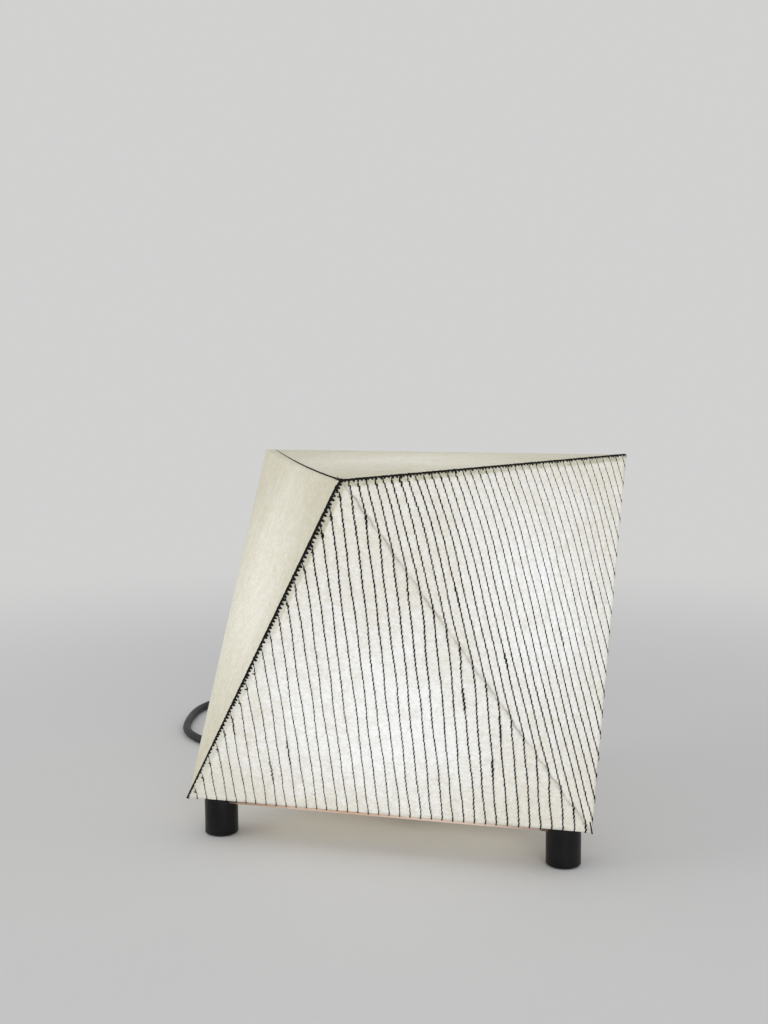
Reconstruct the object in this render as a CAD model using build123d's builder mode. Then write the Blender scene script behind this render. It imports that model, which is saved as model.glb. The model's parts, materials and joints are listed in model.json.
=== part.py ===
from build123d import *

import itertools
import math
import os

# Paper table lamp. Two folded paper sheets are sewn into a shade of eight triangles, which stands on its
# open lower triangle, on a thin plywood base with three round feet. A bulb stands in the middle.
# Millimetres, +Z up, -Y the front. The origin is on the table under the middle of the shade.

# Paper shade
edge_length = 250.0
shade_height = 206.0
paper_thickness = 0.8
hem_width = 6.0
hem_corner_gap = 4.0

# Rows of stitching and seams
row_spacing = 6.5
row_width = 0.6
row_height = 0.4
row_fold_gap = 0.4
row_seam_gap = 0.4
seam_leg = 2.2
seam_thickness = 0.9
closing_seam_leg = 1.0
closing_seam_thickness = 0.5
seam_end_gap = 4.0

# Plywood base
plate_thickness = 3.0
plate_setback = 4.0
plate_corner_radius = 2.0
rim_width = 15.0
opening_corner_radius = 16.0
bar_width = 20.0
hub_diameter = 48.0

# Feet
foot_height = 21.0
foot_diameter = 20.6
foot_chamfer = 0.8
pad_diameter = 17.0
pad_thickness = 1.5
pad_proud = 0.5
screw_inset = 4.5
screw_diameter = 3.0
screw_length = 15.0
screw_head_diameter = 6.0
screw_head_height = 2.0
screw_tip_gap = 1.0

# Threaded tube that holds the lampholder on the hub
nipple_diameter = 10.0
nipple_bore = 7.0
nipple_tail = 1.0
nut_across = 14.0
nut_thickness = 4.0
washer_diameter = 20.0
washer_thickness = 1.0

# Lampholder
holder_diameter = 40.0
holder_wall = 2.0
cap_height = 26.0
cap_floor = 3.0
cap_shoulder_height = 18.0
cap_shoulder_width = 2.5
insert_height = 12.0
sleeve_height = 30.0
shell_bore = 27.2
shell_wall = 0.5
shell_height = 22.0
contact_diameter = 8.0
contact_thickness = 1.2
fit_gap = 0.3
thread_gap = 0.05

# Bulb
bulb_length = 108.0
bulb_diameter = 60.0
bulb_wall = 1.5
bulb_seat_gap = 0.3
tip_diameter = 9.0
tip_height = 1.5
insulator_diameter = 20.0
insulator_height = 4.0
screw_cap_diameter = 26.0
screw_cap_height = 20.0
screw_cap_chamfer = 2.5
screw_cap_wall = 0.5
globe_rim_drop = 12.0
collar_flare = 14.0
board_diameter = 40.0
board_thickness = 1.6

# Cord entry in the lampholder
entry_angle = 97.0
entry_height = 7.0
boss_diameter = 13.0
boss_length = 1.0
neck_diameter = 8.8
neck_inner_reach = 14.0
relief_length = 20.0
relief_root_diameter = 12.0
relief_tip_diameter = 8.4
wire_diameter = 2.0
wire_spread = 1.7
wire_bend_reach = 8.0
wire_top_reach = 6.0

# Cord and its coil
cord_diameter = 6.0
table_gap = 0.1
cord_straight = 15.0
lead_end_straight = 17.0
plug_straight = 10.0
plug_bend_reach = 22.0
plug_bend_offset = 0.8
coil_centre = (-25.0, 250.0)
coil_middle_radius = 34.0
coil_turns = 5.5
coil_pitch = 6.6
coil_climb_turns = 0.5
tie_width = 8.0
tie_thickness = 1.0
tie_gap = 0.4
tie_corner_radius = 2.5

# Switch on the cord
switch_centre = (-120.0, 294.0)
switch_length = 62.0
switch_width = 27.0
switch_half_height = 9.0
switch_wall = 2.0
switch_end_wall = 12.0
switch_corner_radius = 6.0
switch_top_radius = 3.0
switch_cord_depth = 10.0
switch_cord_gap = 0.2
switch_screw_diameter = 2.4
switch_screw_head_diameter = 4.8
switch_screw_head_height = 1.6
switch_screw_reach = 25.0
switch_screw_offset = 8.5
switch_screw_length = 12.0
terminal_reach = 12.0
terminal_length = 6.0
terminal_width = 14.0
terminal_height = 5.0
rocker_length = 22.0
rocker_width = 12.0
rocker_top = 4.6
rocker_dip = 1.4
rocker_depth = 2.5
rocker_hub_diameter = 6.4
rocker_tilt = 9.0
rocker_gap = 1.2
pivot_height = 14.0
pin_diameter = 3.0
pin_seat = 1.6

# Plug
plug_length = 36.0
plug_width = 26.0
plug_thickness = 13.4
plug_heel_width = 22.0
plug_edge_radius = 4.0
plug_pin_diameter = 4.0
plug_pin_length = 19.0
plug_pin_seat = 6.0
plug_pin_spacing = 18.6
plug_boot_length = 26.0
plug_boot_root_diameter = 12.0
plug_boot_tip_diameter = 8.4
plug_lead_length = 45.0

# Heights
shade_bottom = foot_height + plate_thickness
shade_top = shade_bottom + shade_height
shade_middle = Vector(0, 0, (shade_bottom + shade_top) / 2)
cap_top = shade_bottom + cap_height
insert_bottom = shade_bottom + cap_shoulder_height
insert_top = insert_bottom + insert_height
sleeve_top = cap_top + sleeve_height
contact_top = insert_top + contact_thickness
bulb_tip = contact_top + bulb_seat_gap
insulator_bottom = bulb_tip + tip_height
screw_cap_bottom = insulator_bottom + insulator_height
screw_cap_top = screw_cap_bottom + screw_cap_height
bulb_radius = bulb_diameter / 2
globe_centre = bulb_tip + bulb_length - bulb_radius
collar_top = globe_centre - globe_rim_drop

# Plan sizes
corner_reach = edge_length / math.sqrt(3)
side_reach = corner_reach / 2
foot_reach = corner_reach - foot_diameter
holder_radius = holder_diameter / 2
cord_radius = cord_diameter / 2
root_three = math.sqrt(3)
base_angles = {"front_left": 210, "front_right": 330, "rear": 90}
top_angles = {"front": 270, "right": 30, "left": 150}


def keep(piece, name):
    """Name a finished piece and write it."""
    piece.part.label = name
    export_step(piece.part, f"parts/{name}.step")


def ring_point(reach, angle, height):
    """Point at a distance from the lamp's axis, at an angle from +X."""
    turn = math.radians(angle)
    return Vector(reach * math.cos(turn), reach * math.sin(turn), height)


def plate_points(setback, cut_reach):
    """Corners of a triangle set in from the shade's lower edges, each corner cut off square."""
    half_cut = (corner_reach - 2 * setback - cut_reach) * math.tan(math.radians(30))
    points = []
    for angle in base_angles.values():
        middle = ring_point(cut_reach, angle, 0)
        side = ring_point(half_cut, angle + 90, 0)
        points += [middle - side, middle + side]
    return points


def face_plane(a, b, c):
    """Plane through three corners of the shade, facing outwards."""
    normal = (b - a).cross(c - a)
    if normal.dot(a - shade_middle) < 0:
        normal = normal * -1
    return Plane(origin=a, x_dir=b - a, z_dir=normal)


def behind(planes):
    """Solid that lies behind every plane."""
    block = 4 * (edge_length + shade_height)
    with BuildPart() as form:
        with BuildSketch(Plane.XY.offset(shade_middle.Z - block / 2)):
            Rectangle(block, block)
        extrude(amount=block)
        for plane in planes:
            split(bisect_by=plane, keep=Keep.BOTTOM)
    return form.part


def paper_walls(faces, cut_planes):
    """Paper behind the faces, ending at the cut planes, as the outer form and the hollow in it."""
    outer = behind(faces + cut_planes)
    inner_faces = [face.offset(-paper_thickness) for face in faces]
    hollow = behind(inner_faces + [plane.offset(edge_length) for plane in cut_planes])
    return outer, hollow


def add_hem(start, end):
    """Strip of paper turned in along one lower edge, which lies on the base."""
    outer = edge_length / 2 - hem_corner_gap
    inner = outer - hem_width * root_three
    with BuildSketch(Plane(origin=(start + end) / 2, x_dir=end - start, z_dir=(0, 0, 1))) as hem:
        with BuildLine():
            Polyline((-outer, 0), (outer, 0), (inner, hem_width), (-inner, hem_width), close=True)
        make_face()
    extrude(hem.sketch, amount=paper_thickness)


def add_rows(face, across, seam_ends):
    """Rows of thread on one face of the stitched sheet, counted from its lower right corner."""
    panel = Plane(origin=base_right, x_dir=across, z_dir=face.z_dir)
    near, far = (panel.to_local_coords(corner) for corner in seam_ends)
    seam_way = (far - near).normalized()
    panel_reach = (near - seam_way * near.dot(seam_way)).length
    kept = 1 - (seam_leg + row_seam_gap) / panel_reach
    corners = [Vector(0, 0, 0), near * kept, far * kept]
    centre = (corners[0] + corners[1] + corners[2]) / 3
    shrink = 1 - 3 * row_fold_gap / panel_reach
    xs = [corner.X for corner in corners]
    numbers = range(math.floor(min(xs) / row_spacing), math.ceil(max(xs) / row_spacing))
    with BuildSketch(panel) as rows:
        with Locations(*[((number + 0.5) * row_spacing, 0) for number in numbers]):
            Rectangle(row_width, 4 * panel_reach)
        with BuildLine():
            Polyline(*[centre + (corner - centre) * shrink for corner in corners], close=True)
        make_face(mode=Mode.INTERSECT)
    extrude(rows.sketch, amount=row_height)


def add_seam(start, end, first_face, second_face, leg, thickness):
    """Thread bound over the edge from start to end: an angle strip that lies on both faces."""
    way = (end - start).normalized()
    first = first_face.z_dir
    fold = math.radians(first.get_angle(second_face.z_dir))
    second = Vector(math.cos(fold), math.sin(fold))
    down = Vector(-math.sin(fold), math.cos(fold))
    ridge = (Vector(1, 0) + second) * (thickness / (1 + math.cos(fold)))
    strip_start = start + way * seam_end_gap
    with BuildSketch(Plane(origin=strip_start, x_dir=first, z_dir=way)) as section:
        with BuildLine():
            Polyline(
                (0, 0),
                (0, -leg),
                (thickness, -leg),
                ridge,
                second * thickness + down * leg,
                down * leg,
                close=True,
            )
        make_face()
    extrude(section.sketch, amount=(end - start).length - 2 * seam_end_gap)


def add_turned(*points):
    """Round form about the lamp's axis from a half outline of (radius, height) points."""
    with BuildSketch(Plane.XZ) as half:
        with BuildLine():
            Polyline(*points, close=True)
        make_face()
    revolve(half.sketch, axis=Axis.Z)


def add_disc(plane, diameter, length, mode=Mode.ADD):
    """Round bar or hole that starts on a plane."""
    with BuildSketch(plane) as section:
        Circle(diameter / 2)
    extrude(section.sketch, amount=length, mode=mode)


def add_taper(plane, root_diameter, tip_diameter, length):
    """Cone that narrows from a plane to its tip."""
    with BuildSketch(plane) as root:
        Circle(root_diameter / 2)
    with BuildSketch(plane.offset(length)) as tip:
        Circle(tip_diameter / 2)
    loft([root.sketch, tip.sketch])


def bend_radii(points):
    """Radius at each inner point of a route, as large as its two runs allow."""
    radii = []
    for before, here, after in zip(points, points[1:], points[2:]):
        turn = math.radians((here - before).get_angle(after - here))
        shorter = min((here - before).length, (after - here).length)
        radii.append(0.45 * shorter / math.tan(turn / 2))
    return radii


def add_tube(points, diameter):
    """Round tube along straight runs with tangent arcs; returns its length."""
    with BuildLine() as route:
        FilletPolyline(*points, radius=bend_radii(points))
    with BuildSketch(Plane(origin=points[0], z_dir=points[1] - points[0])) as section:
        Circle(diameter / 2)
    sweep(section.sketch, path=route.line)
    return sum(edge.length for edge in route.edges())


def report_tube(name, points, length, volume):
    """Print a cord stretch's bend radii, and its volume against its section times its length."""
    radii = ", ".join(f"{radius:.0f}" for radius in bend_radii(points))
    section_volume = math.pi * cord_radius**2 * length
    print(f"{name}: {length:.1f} long, volume {volume:.0f} of {section_volume:.0f}, radii {radii}")


os.makedirs("parts", exist_ok=True)

base_left, base_right, base_rear = (
    ring_point(corner_reach, angle, shade_bottom) for angle in base_angles.values()
)
top_front, top_right, top_left = (
    ring_point(corner_reach, angle, shade_top) for angle in top_angles.values()
)

# Faces of the plain sheet, all round the top left corner
top_face = face_plane(top_left, top_front, top_right)
left_face = face_plane(top_left, top_front, base_left)
rear_left_face = face_plane(top_left, base_left, base_rear)
rear_face = face_plane(top_left, base_rear, top_right)

# Faces of the stitched sheet, all round the lower right corner
front_face = face_plane(base_right, base_left, top_front)
right_face = face_plane(base_right, top_front, top_right)
rear_right_face = face_plane(base_right, top_right, base_rear)

# The two sheets meet in one plane, which leans through the middle of the shade
seam_normal = (top_right - top_front).cross(base_left - top_front)
if seam_normal.dot(top_left - top_front) < 0:
    seam_normal = seam_normal * -1
towards_plain = Plane(origin=top_front, x_dir=top_right - top_front, z_dir=seam_normal)
towards_stitched = Plane(origin=top_front, x_dir=top_right - top_front, z_dir=seam_normal * -1)
floor_plane = Plane(origin=(0, 0, shade_bottom), z_dir=(0, 0, -1))

plain_outer, plain_hollow = paper_walls(
    [top_face, left_face, rear_left_face, rear_face], [towards_stitched]
)
with BuildPart() as plain_shade:
    add(plain_outer)
    add(plain_hollow, mode=Mode.SUBTRACT)
    add_hem(base_rear, base_left)
keep(plain_shade, "plain_shade")

stitched_outer, stitched_hollow = paper_walls(
    [front_face, right_face, rear_right_face], [towards_plain, floor_plane]
)
with BuildPart() as stitched_shade:
    add(stitched_outer)
    add(stitched_hollow, mode=Mode.SUBTRACT)
    add_hem(base_left, base_right)
    add_hem(base_right, base_rear)
keep(stitched_shade, "stitched_shade")

with BuildPart() as stitch_rows:
    add_rows(front_face, base_right - base_left, (base_left, top_front))
    add_rows(right_face, top_right - top_front, (top_front, top_right))
    add_rows(rear_right_face, base_rear - base_right, (top_right, base_rear))
keep(stitch_rows, "stitch_rows")

with BuildPart() as front_left_seam:
    add_seam(top_front, base_left, front_face, left_face, seam_leg, seam_thickness)
keep(front_left_seam, "front_left_seam")

with BuildPart() as top_front_seam:
    add_seam(top_front, top_right, top_face, right_face, seam_leg, seam_thickness)
keep(top_front_seam, "top_front_seam")

with BuildPart() as rear_right_seam:
    add_seam(top_right, base_rear, rear_face, rear_right_face, seam_leg, seam_thickness)
keep(rear_right_seam, "rear_right_seam")

with BuildPart() as closing_seam:
    add_seam(
        top_left, top_front, top_face, left_face, closing_seam_leg, closing_seam_thickness
    )
keep(closing_seam, "closing_seam")

# Plywood triangle with cut corners and a rim, and a crossbar with a hub under the lampholder
foot_places = [ring_point(foot_reach, angle, 0) for angle in base_angles.values()]
screw_places = [ring_point(foot_reach - screw_inset, angle, 0) for angle in base_angles.values()]
opening_corners = [
    ring_point(2 * (side_reach - rim_width), angle, 0) for angle in base_angles.values()
]
with BuildPart() as base_plate:
    with BuildSketch(Plane.XY.offset(foot_height)) as plate_outline:
        with BuildLine():
            Polyline(*plate_points(plate_setback, foot_reach), close=True)
        make_face()
        fillet(plate_outline.vertices(), plate_corner_radius)
        Circle(nipple_diameter / 2 + fit_gap, mode=Mode.SUBTRACT)
        with Locations(*screw_places):
            Circle(screw_diameter / 2 + fit_gap, mode=Mode.SUBTRACT)
    extrude(amount=plate_thickness)
    with BuildSketch(Plane.XY.offset(foot_height)) as plate_openings:
        with BuildLine():
            Polyline(*opening_corners, close=True)
        make_face()
        fillet(plate_openings.vertices(), opening_corner_radius)
        Rectangle(edge_length, bar_width, mode=Mode.SUBTRACT)
        Circle(hub_diameter / 2, mode=Mode.SUBTRACT)
    extrude(amount=plate_thickness, mode=Mode.SUBTRACT)
keep(base_plate, "base_plate")

# Round feet, each with a pocket for a corner of the base and a screw from above
screw_pilot = screw_length - plate_thickness + screw_tip_gap
pocket_points = plate_points(plate_setback - fit_gap, foot_reach + fit_gap)
for foot_name, place, screw_place in zip(base_angles, foot_places, screw_places):
    foot_bottom = Plane.XY.offset(pad_proud).move(Location(place))
    screw_top = Plane.XY.offset(foot_height).move(Location(screw_place))
    with BuildPart() as foot:
        add_disc(foot_bottom, foot_diameter, shade_bottom - pad_proud)
        chamfer(foot.faces().sort_by(Axis.Z)[0].edges(), foot_chamfer)
        recess = pad_thickness - pad_proud
        add_disc(foot_bottom, pad_diameter + 2 * thread_gap, recess, Mode.SUBTRACT)
        with BuildSketch(Plane.XY.offset(foot_height)) as pocket:
            with BuildLine():
                Polyline(*pocket_points, close=True)
            make_face()
        extrude(amount=plate_thickness, mode=Mode.SUBTRACT)
        add_disc(screw_top, screw_diameter + 2 * thread_gap, -screw_pilot, Mode.SUBTRACT)
    keep(foot, f"{foot_name}_foot")

with BuildPart() as foot_pads:
    for place in foot_places:
        add_disc(Plane.XY.move(Location(place)), pad_diameter, pad_thickness)
keep(foot_pads, "foot_pads")

with BuildPart() as foot_screws:
    for place in screw_places:
        head_seat = Plane.XY.offset(shade_bottom).move(Location(place))
        add_disc(head_seat, screw_head_diameter, screw_head_height)
        add_disc(head_seat, screw_diameter, -screw_length)
keep(foot_screws, "foot_screws")

# Threaded tube with its washer and nut under the hub
washer_bottom = foot_height - washer_thickness
nut_bottom = washer_bottom - nut_thickness
nipple_bottom = nut_bottom - nipple_tail
with BuildPart() as threaded_nipple:
    add_turned(
        (nipple_bore / 2, nipple_bottom),
        (nipple_diameter / 2, nipple_bottom),
        (nipple_diameter / 2, shade_bottom + cap_floor),
        (nipple_bore / 2, shade_bottom + cap_floor),
    )
keep(threaded_nipple, "threaded_nipple")

with BuildPart() as nipple_washer:
    add_disc(Plane.XY.offset(washer_bottom), washer_diameter, washer_thickness)
    add_disc(
        Plane.XY.offset(washer_bottom),
        nipple_diameter + 2 * fit_gap,
        washer_thickness,
        Mode.SUBTRACT,
    )
keep(nipple_washer, "nipple_washer")

with BuildPart() as nipple_nut:
    with BuildSketch(Plane.XY.offset(nut_bottom)):
        RegularPolygon(nut_across / 2, 6, major_radius=False)
        Circle(nipple_diameter / 2 + thread_gap, mode=Mode.SUBTRACT)
    extrude(amount=nut_thickness)
keep(nipple_nut, "nipple_nut")

# Lampholder: a cap with a side entry for the cord, an insert on its shoulder and a sleeve on top
entry_way = ring_point(1, entry_angle, 0)
entry_side = ring_point(1, entry_angle + 90, 0)
entry_plane = Plane(origin=(0, 0, shade_bottom + entry_height), z_dir=entry_way)
boss_face = holder_radius + boss_length
inner_radius = holder_radius - holder_wall
with BuildPart() as holder_cap:
    add_turned(
        (nipple_diameter / 2 + thread_gap, shade_bottom),
        (holder_radius, shade_bottom),
        (holder_radius, cap_top),
        (inner_radius, cap_top),
        (inner_radius, insert_bottom),
        (inner_radius - cap_shoulder_width, insert_bottom),
        (inner_radius - cap_shoulder_width, shade_bottom + cap_floor),
        (nipple_diameter / 2 + thread_gap, shade_bottom + cap_floor),
    )
    boss_start = inner_radius
    add_disc(entry_plane.offset(boss_start), boss_diameter, boss_face - boss_start)
    add_disc(
        entry_plane.offset(wire_bend_reach),
        neck_diameter + 2 * thread_gap,
        boss_face - wire_bend_reach,
        Mode.SUBTRACT,
    )
keep(holder_cap, "holder_cap")

with BuildPart() as holder_insert:
    add_disc(Plane.XY.offset(insert_bottom), 2 * (inner_radius - fit_gap), insert_height)
keep(holder_insert, "holder_insert")

with BuildPart() as holder_sleeve:
    add_turned(
        (inner_radius, cap_top),
        (holder_radius, cap_top),
        (holder_radius, sleeve_top),
        (inner_radius, sleeve_top),
    )
    chamfer(holder_sleeve.edges().group_by(Axis.Z)[-1], holder_wall / 4)
keep(holder_sleeve, "holder_sleeve")

with BuildPart() as screw_shell:
    add_turned(
        (shell_bore / 2, insert_top),
        (shell_bore / 2 + shell_wall, insert_top),
        (shell_bore / 2 + shell_wall, insert_top + shell_height),
        (shell_bore / 2, insert_top + shell_height),
    )
keep(screw_shell, "screw_shell")

with BuildPart() as centre_contact:
    add_disc(Plane.XY.offset(insert_top), contact_diameter, contact_thickness)
keep(centre_contact, "centre_contact")

# Strain relief: a neck through the cap's boss, and a taper outside it
relief_tip = boss_face + relief_length
with BuildPart() as cord_sleeve:
    add_disc(entry_plane.offset(neck_inner_reach), neck_diameter, boss_face - neck_inner_reach)
    add_taper(
        entry_plane.offset(boss_face), relief_root_diameter, relief_tip_diameter, relief_length
    )
keep(cord_sleeve, "cord_sleeve")

entry_point = Vector(0, 0, shade_bottom + entry_height)
with BuildPart() as holder_wires:
    for side in (-1, 1):
        beside = entry_point + entry_side * (side * wire_spread)
        wire_top = beside + entry_way * wire_top_reach
        add_tube(
            [
                beside + entry_way * neck_inner_reach,
                beside + entry_way * wire_bend_reach,
                Vector(wire_top.X, wire_top.Y, insert_bottom),
            ],
            wire_diameter,
        )
    split(bisect_by=Plane.XY.offset(insert_bottom), keep=Keep.BOTTOM)
keep(holder_wires, "holder_wires")

# Bulb
with BuildPart() as bulb_contact:
    add_turned(
        (0, bulb_tip),
        (tip_diameter / 2, bulb_tip),
        (tip_diameter / 2, insulator_bottom),
        (insulator_diameter / 2, screw_cap_bottom),
        (0, screw_cap_bottom),
    )
keep(bulb_contact, "bulb_contact")

cap_inner = screw_cap_diameter / 2 - screw_cap_wall
cap_chamfer_top = screw_cap_bottom + screw_cap_chamfer
with BuildPart() as bulb_cap:
    add_turned(
        (0, screw_cap_bottom),
        (screw_cap_diameter / 2 - screw_cap_chamfer, screw_cap_bottom),
        (screw_cap_diameter / 2, cap_chamfer_top),
        (screw_cap_diameter / 2, screw_cap_top),
        (cap_inner, screw_cap_top),
        (cap_inner, cap_chamfer_top),
        (0, cap_chamfer_top),
    )
keep(bulb_cap, "bulb_cap")

globe_rim = math.sqrt(bulb_radius**2 - globe_rim_drop**2)
globe_inner = bulb_radius - bulb_wall
globe_inner_rim = math.sqrt(globe_inner**2 - globe_rim_drop**2)
collar_way = Vector(math.sin(math.radians(collar_flare)), math.cos(math.radians(collar_flare)))
collar_foot = screw_cap_diameter / 2
collar_ceiling = collar_top - bulb_wall
with BuildPart() as bulb_collar:
    with BuildSketch(Plane.XZ):
        with BuildLine():
            TangentArc((collar_foot, screw_cap_top), (globe_rim, collar_top), tangent=collar_way)
            Polyline(
                (globe_rim, collar_top),
                (0, collar_top),
                (0, collar_ceiling),
                (globe_rim - 2 * bulb_wall, collar_ceiling),
            )
            TangentArc(
                (collar_foot - bulb_wall, screw_cap_top),
                (globe_rim - 2 * bulb_wall, collar_ceiling),
                tangent=collar_way,
            )
            Line((collar_foot - bulb_wall, screw_cap_top), (collar_foot, screw_cap_top))
        make_face()
    revolve(axis=Axis.Z)
keep(bulb_collar, "bulb_collar")

with BuildPart() as led_board:
    add_disc(Plane.XY.offset(collar_top), board_diameter, board_thickness)
keep(led_board, "led_board")

globe_top = globe_centre + bulb_radius
with BuildPart() as bulb_globe:
    with BuildSketch(Plane.XZ):
        with BuildLine():
            ThreePointArc((globe_rim, collar_top), (bulb_radius, globe_centre), (0, globe_top))
            Line((0, globe_top), (0, globe_top - bulb_wall))
            ThreePointArc(
                (0, globe_top - bulb_wall), (globe_inner, globe_centre), (globe_inner_rim, collar_top)
            )
            Line((globe_inner_rim, collar_top), (globe_rim, collar_top))
        make_face()
    revolve(axis=Axis.Z)
keep(bulb_globe, "bulb_globe")

# Switch on the cord: two half shells, a rocker on a pin, and screws from below
switch_x, switch_y = switch_centre
switch_floor = Plane.XY.move(Location((switch_x, switch_y, 0)))
switch_split = switch_floor.offset(switch_half_height)
cavity_length = switch_length - 2 * switch_end_wall
cavity_width = switch_width - 2 * switch_wall
cord_bore = cord_diameter + 2 * switch_cord_gap
bore_plane = Plane(
    origin=(switch_x - switch_length / 2, switch_y, switch_half_height), z_dir=(1, 0, 0)
)
screw_places = [
    (side * switch_screw_reach, side * switch_screw_offset) for side in (-1, 1)
]
pivot = Vector(switch_x, switch_y, pivot_height)
pin_length = cavity_width + 2 * pin_seat
pin_plane = Plane(origin=pivot - Vector(0, pin_length / 2, 0), z_dir=(0, 1, 0))

with BuildPart() as switch_base:
    with BuildSketch(switch_floor):
        RectangleRounded(switch_length, switch_width, switch_corner_radius)
    extrude(amount=switch_half_height)
    with BuildSketch(switch_floor.offset(switch_wall)):
        Rectangle(cavity_length, cavity_width)
    extrude(amount=switch_half_height, mode=Mode.SUBTRACT)
    with BuildSketch(switch_floor):
        with Locations(*screw_places):
            Circle(switch_screw_head_diameter / 2 + fit_gap)
    extrude(amount=switch_screw_head_height, mode=Mode.SUBTRACT)
    with BuildSketch(switch_floor):
        with Locations(*screw_places):
            Circle(switch_screw_diameter / 2 + fit_gap)
    extrude(amount=switch_half_height, mode=Mode.SUBTRACT)
    add_disc(bore_plane, cord_bore, switch_length, Mode.SUBTRACT)
keep(switch_base, "switch_base")

with BuildPart() as switch_cover:
    with BuildSketch(switch_split):
        RectangleRounded(switch_length, switch_width, switch_corner_radius)
    extrude(amount=switch_half_height)
    fillet(switch_cover.edges().group_by(Axis.Z)[-1], switch_top_radius)
    with BuildSketch(switch_split):
        Rectangle(cavity_length, cavity_width)
    extrude(amount=switch_half_height - switch_wall, mode=Mode.SUBTRACT)
    with BuildSketch(switch_split):
        Rectangle(rocker_length + 2 * rocker_gap, rocker_width + rocker_gap)
    extrude(amount=switch_half_height, mode=Mode.SUBTRACT)
    with BuildSketch(switch_split):
        with Locations(*screw_places):
            Circle(switch_screw_diameter / 2 + thread_gap)
    extrude(
        amount=switch_screw_length + switch_screw_head_height - switch_half_height, mode=Mode.SUBTRACT
    )
    add_disc(bore_plane, cord_bore, switch_length, Mode.SUBTRACT)
    add_disc(pin_plane, pin_diameter + 2 * thread_gap, pin_length, Mode.SUBTRACT)
keep(switch_cover, "switch_cover")

with BuildPart() as switch_screws:
    with BuildSketch(switch_floor):
        with Locations(*screw_places):
            Circle(switch_screw_head_diameter / 2)
    extrude(amount=switch_screw_head_height)
    with BuildSketch(switch_floor.offset(switch_screw_head_height)):
        with Locations(*screw_places):
            Circle(switch_screw_diameter / 2)
    extrude(amount=switch_screw_length)
keep(switch_screws, "switch_screws")

with BuildPart() as switch_terminals:
    with BuildSketch(switch_floor.offset(switch_wall)):
        with Locations((-terminal_reach, 0), (terminal_reach, 0)):
            Rectangle(terminal_length, terminal_width)
    extrude(amount=terminal_height)
keep(switch_terminals, "switch_terminals")

with BuildPart() as rocker_pin:
    add_disc(pin_plane, pin_diameter, pin_length)
keep(rocker_pin, "rocker_pin")

# The rocker rests tipped, with its right end up
tilt = math.radians(rocker_tilt)
rocker_plane = Plane(origin=pivot, x_dir=(math.cos(tilt), 0, math.sin(tilt)), z_dir=(0, -1, 0))
rocker_half = rocker_length / 2
with BuildPart() as switch_rocker:
    with BuildSketch(rocker_plane):
        with BuildLine():
            Polyline(
                (-rocker_half, -rocker_depth),
                (rocker_half, -rocker_depth),
                (rocker_half, rocker_top),
                (0, rocker_top - rocker_dip),
                (-rocker_half, rocker_top),
                close=True,
            )
        make_face()
        Circle(rocker_hub_diameter / 2)
        Circle(pin_diameter / 2 + thread_gap, mode=Mode.SUBTRACT)
    extrude(amount=rocker_width / 2, both=True)
keep(switch_rocker, "switch_rocker")

# Cord from the strain relief to the switch, out under the rear left side and round behind the lamp
lead_height = cord_radius + table_gap
relief_end = entry_point + entry_way * relief_tip
lead_bore_end = Vector(
    switch_x - switch_length / 2 + switch_cord_depth, switch_y, switch_half_height
)
lead_points = [
    relief_end,
    relief_end + entry_way * cord_straight,
    Vector(-8.8, 71.5, 24.5),
    Vector(-10.5, 85.4, 15.0),
    Vector(-12.2, 99.3, 7.6),
    Vector(-22, 114, 4.2),
    Vector(-42, 126, lead_height),
    Vector(-72, 131, lead_height),
    Vector(-110, 126, lead_height),
    Vector(-150, 115, lead_height),
    Vector(-190, 113, lead_height),
    Vector(-222, 140, lead_height),
    Vector(-235, 178, lead_height),
    Vector(-241, 214, lead_height),
    Vector(-230, 253, lead_height),
    Vector(-205, 284, lead_height),
    Vector(-180, 293.5, 5.2),
    lead_bore_end - Vector(lead_end_straight, 0, 0),
    lead_bore_end,
]
with BuildPart() as lead_cord:
    lead_length = add_tube(lead_points, cord_diameter)
report_tube("lead_cord", lead_points, lead_length, lead_cord.part.volume)
keep(lead_cord, "lead_cord")

# Coil: it spirals in on the table, climbs one layer where it turns back, and spirals out on top
coil_x, coil_y = coil_centre
coil_height = cord_radius + tie_thickness + tie_gap + table_gap
half_turns = coil_turns / 2
inner_coil_radius = coil_middle_radius - coil_pitch * half_turns / 2


def coil_spot(turn):
    """Point on the coil's middle line after a number of turns, clockwise from its rear."""
    angle = math.radians(90 - 360 * turn)
    radius = inner_coil_radius + coil_pitch * abs(turn - half_turns)
    climb = min(max((turn - half_turns) / coil_climb_turns + 0.5, 0), 1)
    height = coil_height + coil_pitch * (1 - math.cos(math.pi * climb)) / 2
    return Vector(
        coil_x + radius * math.cos(angle), coil_y + radius * math.sin(angle), height
    )


def coil_way(turn):
    """Direction of the coil's middle line; it runs straight along X at both ends."""
    if turn == 0:
        return Vector(1, 0, 0)
    if turn == coil_turns:
        return Vector(-1, 0, 0)
    step = 1e-4
    return (coil_spot(turn + step) - coil_spot(turn - step)).normalized()


def arcs_meet(start, start_way, end, end_way):
    """Point where two tangent arcs meet that leave start and reach end along the given ways."""
    gap = end - start
    along = gap.dot(start_way + end_way)
    spread = 2 * (1 - start_way.dot(end_way))
    reach = (math.sqrt(along**2 + spread * gap.dot(gap)) - along) / spread
    return (start + end + (start_way - end_way) * reach) / 2


def least_coil_gap():
    """Least clear distance between two stretches of the coil that aren't neighbours along it."""
    steps_per_turn = 60
    steps = int(coil_turns * steps_per_turn)
    spots = [coil_spot(step / steps_per_turn) for step in range(steps + 1)]
    apart = steps_per_turn // 3
    pairs = itertools.combinations(range(steps + 1), 2)
    return min((spots[a] - spots[b]).length for a, b in pairs if b - a > apart) - cord_diameter


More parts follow.
